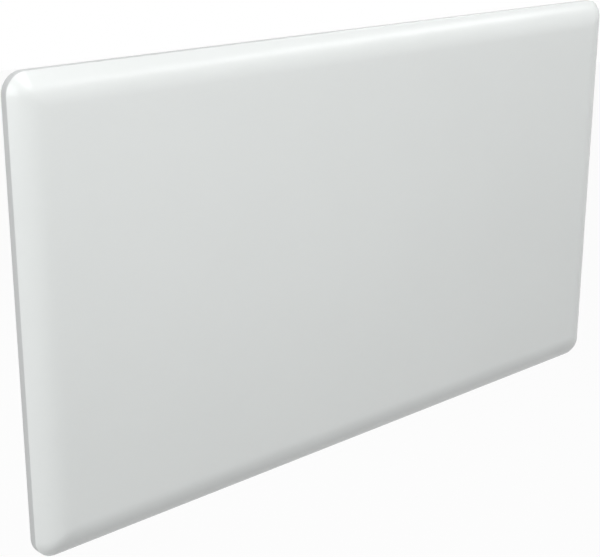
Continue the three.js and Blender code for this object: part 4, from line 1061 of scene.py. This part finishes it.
def dial_marks(face, y, z):
    """Ticks that grow round the knob, and a plain number at each end of its travel."""
    marks = []
    for tick in range(TICKS):
        share = tick / (TICKS - 1)
        turn = TICK_TURN * (share - 0.5)
        length = TICK_LENGTHS[0] + (TICK_LENGTHS[1] - TICK_LENGTHS[0]) * share
        outline = about(0, TICK_START + length / 2, TICK_WIDTH, length, TICK_CORNER, TINY_STEPS)
        cos, sin = math.cos(turn), math.sin(turn)
        spin = [(y + a * cos + b * sin, z - a * sin + b * cos) for a, b in outline]
        marks.append(prism("x", spin, face - PRINT_SINK, face + PRINT_RISE))
    aside, down = NUMBER_PLACE
    marks += [number("0", y - aside, z - down, face), number("6", y + aside, z - down, face)]
    add_piece("dial_marks", together(marks), "grey_plastic", "heater", finish="grey_print")


def number(text, y, z, face):
    """A printed number on the fascia."""
    curve = bpy.data.curves.new("number", "FONT")
    curve.body = text
    curve.size = NUMBER_SIZE
    curve.align_x = curve.align_y = "CENTER"
    curve.extrude = (PRINT_SINK + PRINT_RISE) / 2
    item = show("number", curve)
    mesh = baked(item)
    bpy.data.objects.remove(item)
    centre = face + (PRINT_RISE - PRINT_SINK) / 2
    return turned(mesh, Matrix(((0, 0, 1, centre), (1, 0, 0, y), (0, 1, 0, z), (0, 0, 0, 1))))


def knob():
    """A fluted knob with a collar, a dished face and a pointer."""
    (base, _, low_z), (top, _, high_z) = corners("thermostat_knob")
    _, y, z = middle("thermostat_knob")
    radius = (high_z - low_z) / 2
    body = radius - KNOB_NECK
    collar = base + COLLAR_HEIGHT
    face_radius = body - KNOB_TAPER - KNOB_ROUND

    def flutes(turn, along):
        if not collar < along < top - FLUTE_END:
            return 1
        return 1 - FLUTE_DEPTH * swell(turn, KNOB_FLUTES) ** FLUTE_POWER

    profile = [
        (radius - SMALL_EDGE, base),
        (radius, base + SMALL_EDGE),
        (radius, collar - COLLAR_ROUND[1]),
        (radius - COLLAR_ROUND[0], collar - COLLAR_ROUND[0]),
        (body + NECK_EDGE, collar),
        (body, collar + NECK_EDGE),
        (body - KNOB_TAPER, top - KNOB_SIDE_END),
        *arc((face_radius, top - KNOB_ROUND), KNOB_ROUND, 0, RIGHT_ANGLE),
        *[(body - inset, top - depth) for inset, depth in DISH],
        (DISH_FLOOR[0], top - DISH_FLOOR[1]),
    ]
    mesh = lathe("x", (y, z), profile, ripple=flutes, steps=KNOB_STEPS)
    width, length, depth = POINTER
    pointer_z = z + radius - POINTER_INSET - length / 2
    outline = about(y, pointer_z, width, length, POINTER_CORNER[0], BEND_STEPS)
    groove = prism("x", outline, top - depth - POINTER_GROOVE, top + THROUGH)
    bore = prism("x", circle(y, z, SHAFT_HOLE), base - THROUGH, top - KNOB_CAP)
    mesh = cut(cut(mesh, groove), bore)
    add_piece("thermostat_knob_fluted", mesh, "white_plastic", "knob", "thermostat_knob")
    size = (width - POINTER_PLAY, length - POINTER_PLAY)
    outline = about(y, pointer_z, *size, POINTER_CORNER[1], BEND_STEPS)
    line = prism("x", outline, *[top - depth - drop for drop in POINTER_LINE])
    add_piece("knob_pointer_line", line, "grey_plastic", "knob", finish="grey_print")


def indicator():
    (rear, _, low_z), (face, _, high_z) = corners("indicator_lens")
    _, y, z = middle("indicator_lens")
    radius = (high_z - low_z) / 2
    dome = [(radius * math.cos(turn), face - LENS_DOME + LENS_DOME * math.sin(turn)) for turn in DOME_TURNS]
    profile = [(radius - CHAMFER, rear), (radius, rear + CHAMFER), *dome]
    add_piece("indicator_lens_dome", lathe("x", (y, z), profile), "amber_lens", "heater", "indicator_lens")


def switch():
    """The switch's bezel and well, and the key that rocks in it."""
    low, high = corners("switch_body")
    _, y, z = middle("switch_body")
    face, rear = high[0], box_x - SWITCH_DEPTH
    bezel_rear = corners("control_fascia")[1][0] + GAP

    def ring(inset, x):
        radius = max(BEZEL_CORNER - BEZEL_TIGHTER * inset, BEZEL_LEAST_CORNER)
        return [(x, a, b) for a, b in inside("x", low, high, inset, radius, END_STEPS)]

    profile = [
        (SWITCH_WALL, rear + SWITCH_FLOOR),
        (SWITCH_WALL, face - SMALL_EDGE),
        (SWITCH_WALL - SMALL_EDGE, face),
        *arc((BEZEL_EDGE, face - BEZEL_EDGE), BEZEL_EDGE, RIGHT_ANGLE, 2 * RIGHT_ANGLE),
        (0, bezel_rear),
        (SWITCH_LAP, bezel_rear),
        (SWITCH_LAP, rear),
    ]
    mesh = loft([ring(inset, x) for inset, x in profile])
    width, thickness = TAB
    outline = rounded(low[0], y - width / 2, rear + TAB_BITE, y + width / 2, TAB_CORNER_RADIUS, TINY_STEPS)
    for lane in (z - TAB_Z, z + TAB_Z):
        mesh = join(mesh, prism("z", outline, lane - thickness / 2, lane + thickness / 2))
    add_piece("switch_body_bezel", mesh, "black_plastic", "heater", "switch_body")
    key(y, z)


def key(y, z):
    """A rocker with a dished face, a bar and a ring, built about its pin and turned to where it rests."""
    half, side = KEY_LENGTH / 2, KEY_WIDTH / 2
    root, root_length = KEY_ROOT
    skirt = KEY_VALLEY - KEY_SKIRT

    def face(b):
        return KEY_VALLEY + (KEY_CROWN - KEY_VALLEY) * abs(b / half) ** KEY_POWER

    along = [half * (2 * step / KEY_STEPS - 1) for step in range(KEY_STEPS + 1)]
    top = [(face(b), b) for b in along]
    section = [(-root, -root_length / 2), (skirt, -half), *top, (skirt, half), (-root, root_length / 2)]
    # The ends draw in a little, which rounds the key's long edges.
    ends = [(inset, edge - side) for inset, edge in KEY_EDGE]
    ends += [(inset, -across) for inset, across in reversed(ends)]
    rings = []
    for inset, across in ends:
        rings.append([(a - inset * (a > skirt), across, b * (1 - inset / half)) for a, b in section])
    rest = Matrix.Translation((box_x + PIN_LIFT, y, z)) @ Matrix.Rotation(ROCKER_REST, 4, "Y")
    mesh = turned(loft(rings), rest)
    add_piece("power_rocker_key", mesh, "black_plastic", "rocker", "power_rocker", sharp=KEY_SHARP)

    def on_face(points, lift):
        return [(face(b) + lift, a, b) for a, b in points]

    outline = about(0, MARK_Z, *BAR, BAR_CORNER, BAR_STEPS)
    bar = loft([on_face(outline, -MARK_SINK), on_face(outline, MARK_RISE)])
    outer, inner = [circle(0, -MARK_Z, radius) for radius in RING]
    sides = ((outer, -MARK_SINK), (outer, MARK_RISE), (inner, MARK_RISE), (inner, -MARK_SINK))
    ring = loft([on_face(points, lift) for points, lift in sides], closed=True)
    marks = turned(together([bar, ring]), rest)
    add_piece("rocker_marks", marks, "white_plastic", "rocker", finish="white_print")


# ---- pieces that keep their solids


def dress_solids():
    """Gives every CAD node that still shows its finish, softened edges and smooth round faces."""
    slots = {part["node"]: part["material_slot"] for part in frame["record"]["subparts"]}
    for name, item in frame["nodes"].items():
        if item.hide_render:
            continue
        coat(item.data, slots[name])
        weld = item.modifiers.new("weld", "WELD")
        weld.merge_threshold = SAME_POINT * MM
        edges = item.modifiers.new("edges", "BEVEL")
        edges.width = SOFT_EDGE * MM
        edges.segments = 2
        edges.limit_method = "ANGLE"
        edges.angle_limit = SOFT_EDGE_ANGLE
        edges.harden_normals = True


# ---- light, floor and camera

CAMERA_PLACE = (-0.8644, -0.9404, 0.3588)
CAMERA_YAW = math.radians(42.15)  # from +Y towards +X
CAMERA_PITCH = math.radians(18.08)  # downwards
FOCAL_LENGTH = 80.96
SHIFT = (0.01433, 0.00833)
FLOOR_Z = -0.9
FLOOR_SIZE = 12
FLOOR_COLOUR = (0.5, 0.5, 0.5)
FLOOR_ROUGHNESS = 0.9
FLOOR_WHITE = 0.96  # share of plain white in what is seen of it
AMBIENT = 0.05
# name, place, what it points at, width and height, strength in watts
LAMPS = [
    ("front_high", (0, -1.63, 1.63), (0, 0, 0), (1.2, 1.2), 16),
    ("front_top", (0, -0.97, 2.08), (0, 0, 0), (1.2, 1.2), 20.8),
    ("left_front", (-1.92, -1.11, 0.6), (0, 0, 0), (1.2, 1.2), 19),
    ("left_side", (-2.24, 0.2, 0.48), (0, 0, 0), (1.2, 1.2), 13.8),
    ("right_streak", (1.34, -1.11, 1.34), (0.35, 0.3, 0), (1.7, 0.3), 7),
    ("right_low", (1.2, -1.9, -0.4), (0, 0, 0), (1.2, 1.2), 2.5),
    ("back", (0.3, 2.4, 0.6), (0, 0, 0), (1.8, 1.8), 18),
    ("back_right", (1.8, 1.1, 1.1), (0, 0, 0), (1.2, 1.2), 10),
]


def add_camera():
    data = bpy.data.cameras.new("camera")
    data.lens = FOCAL_LENGTH
    data.shift_x, data.shift_y = SHIFT
    data.clip_start, data.clip_end = 0.01, 100
    camera = show("camera", data)
    camera.location = CAMERA_PLACE
    camera.rotation_euler = (RIGHT_ANGLE - CAMERA_PITCH, 0, -CAMERA_YAW)
    bpy.context.scene.camera = camera


def show_white(tree, soft, white, output, dimmer=None):
    """Shows the white shader to a ray that only looks: from the camera, off a gloss or through glass."""
    mix = tree.nodes.new("ShaderNodeMixShader")
    path = tree.nodes.new("ShaderNodeLightPath")
    share = path.outputs["Is Camera Ray"]
    for name in ("Is Glossy Ray", "Is Transmission Ray"):
        either = tree.nodes.new("ShaderNodeMath")
        either.operation = "MAXIMUM"
        tree.links.new(share, either.inputs[0])
        tree.links.new(path.outputs[name], either.inputs[1])
        share = either.outputs[0]
    if dimmer:
        tree.links.new(share, dimmer.inputs[0])
        share = dimmer.outputs[0]
    tree.links.new(share, mix.inputs["Fac"])
    tree.links.new(soft.outputs[0], mix.inputs[1])
    tree.links.new(white.outputs[0], mix.inputs[2])
    tree.links.new(mix.outputs[0], tree.nodes[output].inputs["Surface"])


def add_world():
    world = bpy.data.worlds.new("studio")
    world.use_nodes = True
    tree = world.node_tree
    soft, white = tree.nodes["Background"], tree.nodes.new("ShaderNodeBackground")
    for node in (soft, white):
        node.inputs["Color"].default_value = (1, 1, 1, 1)
    soft.inputs["Strength"].default_value = AMBIENT
    show_white(tree, soft, white, "World Output")
    bpy.context.scene.world = world


def add_floor():
    """A pale floor well below the heater. It looks white, and keeps a little of the heater's shadow."""
    half = FLOOR_SIZE / 2
    mesh = bpy.data.meshes.new("floor")
    points = [(-half, -half, FLOOR_Z), (half, -half, FLOOR_Z), (half, half, FLOOR_Z), (-half, half, FLOOR_Z)]
    mesh.from_pydata(points, [], [(0, 1, 2, 3)])
    material = bpy.data.materials.new("floor")
    material.use_nodes = True
    tree = material.node_tree
    matte = tree.nodes["Principled BSDF"]
    matte.inputs["Base Color"].default_value = (*FLOOR_COLOUR, 1)
    matte.inputs["Roughness"].default_value = FLOOR_ROUGHNESS
    glow = tree.nodes.new("ShaderNodeEmission")
    dimmer = tree.nodes.new("ShaderNodeMath")
    dimmer.operation = "MULTIPLY"
    dimmer.inputs[1].default_value = FLOOR_WHITE
    show_white(tree, matte, glow, "Material Output", dimmer)
    mesh.materials.append(material)
    floor = show("floor", mesh)


def add_lamps():
    for name, spot, target, size, strength in LAMPS:
        data = bpy.data.lights.new(name, "AREA")
        data.shape = "RECTANGLE"
        data.size, data.size_y = size
        data.energy = strength
        lamp = show(name, data)
        lamp.location = spot
        lamp.rotation_euler = (Vector(target) - Vector(spot)).to_track_quat("-Z", "Y").to_euler()


# ---- the scene

add_camera()
finishes = make_finishes()
front_panel()
rear_casing()
grille("outlet_grille")
grille("inlet_grille")
cross_rail()
for arm_side in ("left", "right"):
    arm(arm_side)
    lock(arm_side)
for pad in ("left_arm_pad_1", "left_arm_pad_2", "right_arm_pad_1", "right_arm_pad_2"):
    arm_pad(pad)
screws()
cable_gland()
fascia()
knob()
indicator()
switch()
dress_solids()
add_world()
add_floor()
add_lamps()
bpy.context.scene.view_settings.view_transform = "Standard"
